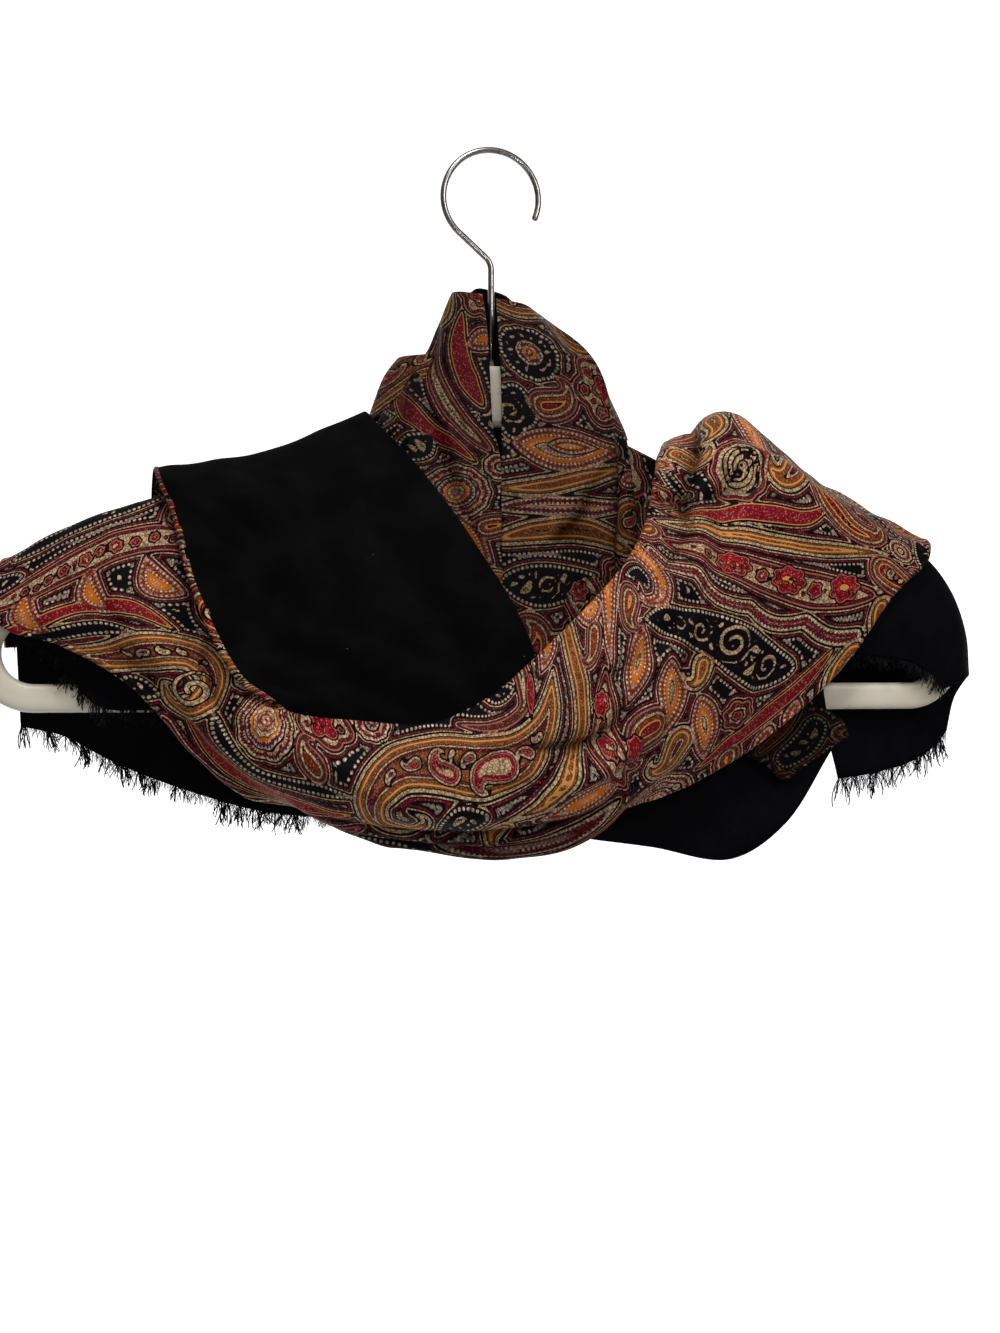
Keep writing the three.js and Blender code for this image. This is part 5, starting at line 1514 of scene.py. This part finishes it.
neck_z = PEAK_Z - NECK_ROUND / math.cos(ARM_SLOPE)
loop_path = np.concatenate([
    arc(END_TURN_X, TURN_Z, END_TURN_RADIUS, -90, ARM_TURN, 24),
    arc(0, neck_z, NECK_ROUND, ARM_TURN, 180 - ARM_TURN, 12),
    arc(-END_TURN_X, TURN_Z, END_TURN_RADIUS, 180 - ARM_TURN, 270, 24)])
TUBE_SIDES, WIRE_SIDES = 40, 20
hanger = sweep_in_plane("hanger_tube", loop_path, round_section(BAR_HIGH, BAR_DEEP, TUBE_SIDES, 0.62), True)
boss_levels = [(NECK_BOTTOM, 0.8), (NECK_BOTTOM + 2, 0.94), (NECK_BOTTOM + 5, 1), (NECK_TOP - 4, 0.95),
               (NECK_TOP - 1.2, 0.9), (NECK_TOP - 0.3, 0.82), (NECK_TOP, 0.7)]
boss_section = round_section(NECK_WIDE, NECK_DEEP, TUBE_SIDES, 0.7)
boss = joined_rings("hanger_neck", [
    np.column_stack([boss_section * size, np.full(TUBE_SIDES, z)]) for z, size in boss_levels], False)

hook_z = WIRE_RADIUS - HOOK_RADIUS
turn = arc(0, hook_z, HOOK_RADIUS, HOOK_JOIN_ANGLE, HOOK_TIP_ANGLE, 90)
bend = np.array([0, HOOK_BEND_Z])
to_turn = (turn[0] - bend) / np.linalg.norm(turn[0] - bend)
bend_part = np.linspace(0, 1, 9)[:, None]
low, high = bend - np.array([0, HOOK_BEND_RADIUS]), bend + to_turn * HOOK_BEND_RADIUS
bend_path = (1 - bend_part) ** 2 * low + 2 * bend_part * (1 - bend_part) * bend + bend_part ** 2 * high
tip = turn[-1] + np.array([[-0.15, -0.6], [-0.3, -1.0], [-0.33, -1.1]])
hook_path = np.concatenate([[[0, NECK_TOP - 4], [0, -80], [0, -60]], bend_path, turn, tip])
hook_sizes = np.ones(len(hook_path))
hook_sizes[-3:] = (0.92, 0.6, 0.2)
wire_section = round_section(2 * WIRE_RADIUS, 2 * WIRE_RADIUS, WIRE_SIDES, 1)
hook = sweep_in_plane("hook_wire", hook_path, wire_section, False, hook_sizes)
for piece, material, slot, node in ((hanger, PLASTIC, "hanger_plastic", "hanger_body"),
                                    (boss, PLASTIC, "hanger_plastic", "hanger_body"),
                                    (hook, STEEL, "hook_steel", "hanger_hook")):
    recalculated(piece)
    finish_with(piece, material)
    dress(piece, slot, node)


# ---- camera, light and floor ----

CAMERA_TURN = math.radians(-10)
CAMERA_AWAY = 0.72
CAMERA_X, CAMERA_Z = 0.004, -0.224   # the point that the camera turns about; its depth is 0
LENS, SENSOR = 44.5, 36
camera_data = bpy.data.cameras.new("camera")
camera_data.lens, camera_data.sensor_width = LENS, SENSOR
camera = bpy.data.objects.new("camera", camera_data)
camera.location = (CAMERA_X + CAMERA_AWAY * math.sin(CAMERA_TURN),
                   -CAMERA_AWAY * math.cos(CAMERA_TURN), CAMERA_Z)
camera.rotation_euler = (math.radians(90), 0, CAMERA_TURN)
bpy.context.scene.collection.objects.link(camera)
bpy.context.scene.camera = camera


def soft_light(name, place, target, size, power, colour=(1, 1, 1)):
    """A rectangular light turned to a target; sizes in metres, power in watts."""
    data = bpy.data.lights.new(name, "AREA")
    data.shape = "RECTANGLE"
    data.size, data.size_y = size
    data.energy = power
    data.color = colour
    light = bpy.data.objects.new(name, data)
    light.location = place
    away = np.array(place) - np.array(target)
    flat = math.hypot(away[0], away[1])
    light.rotation_euler = (math.atan2(flat, away[2]), 0, math.atan2(away[0], -away[1]))
    bpy.context.scene.collection.objects.link(light)


WARM = (1.0, 0.965, 0.93)
soft_light("key", (0.3, -0.5, 0.12), (0, 0, -0.22), (0.24, 0.24), 1.2, WARM)
soft_light("front", (-0.11, -0.66, -0.15), (0, 0, -0.2), (0.06, 0.06), 0.4, WARM)
soft_light("top", (-0.1, -0.46, 0.44), (0, 0, -0.22), (0.2, 0.2), 3.8, WARM)
soft_light("back", (0.2, 1.2, 0.4), (0, 0, -0.2), (1.4, 0.8), 4)

# The studio's far walls look pale but add little light.
WORLD_LIGHT, WORLD_SEEN = 0.13, 0.8
world = bpy.data.worlds.new("world")
world.use_nodes = True
tree = world.node_tree
backdrop = tree.nodes["Background"]
backdrop.inputs[0].default_value = (1, 1, 1, 1)
path = tree.nodes.new("ShaderNodeLightPath")
seen = tree.nodes.new("ShaderNodeMapRange")
seen.inputs["To Min"].default_value = WORLD_LIGHT
seen.inputs["To Max"].default_value = WORLD_SEEN
tree.links.new(path.outputs["Is Camera Ray"], seen.inputs[0])
tree.links.new(seen.outputs[0], backdrop.inputs[1])
bpy.context.scene.world = world
bpy.context.scene.view_settings.view_transform = "Standard"

PAPER, PAPER_GLOW = (0.9, 0.9, 0.89, 1), 0.95
GLOW_FROM, GLOW_TO = 0.3, 1.0        # how far behind the cloth the paper starts to glow and glows fully, in m


def paper_finish():
    """Pale paper that glows behind the cloth only, so that it stays white and adds little light in front."""
    nodes = Nodes("floor_paper")
    behind = nodes.add("ShaderNodeSeparateXYZ", inputs={0: nodes.object_place()}, output=1)
    glow = nodes.blend((0.1, 0.1, 0.1), (1, 1, 1), nodes.smooth(behind, GLOW_FROM, GLOW_TO))
    return nodes.surface(Base_Color=PAPER, Roughness=0.9, Emission_Color=glow, Emission_Strength=PAPER_GLOW)


FLOOR_Z, FLOOR_HALF_WIDE, WALL_TOP = -1.45, 3, 2.2
floor_rows = [(-2.2, FLOOR_Z), (0.8, FLOOR_Z), (1.2, FLOOR_Z + 0.06), (1.5, FLOOR_Z + 0.3),
              (1.6, FLOOR_Z + 0.7), (1.6, WALL_TOP)]
floor_points = [(x, y, z) for y, z in floor_rows for x in (-FLOOR_HALF_WIDE, FLOOR_HALF_WIDE)]
floor = mesh_object("floor", floor_points, [(2 * k, 2 * k + 1, 2 * k + 3, 2 * k + 2) for k in range(5)])
finish_with(floor, paper_finish())
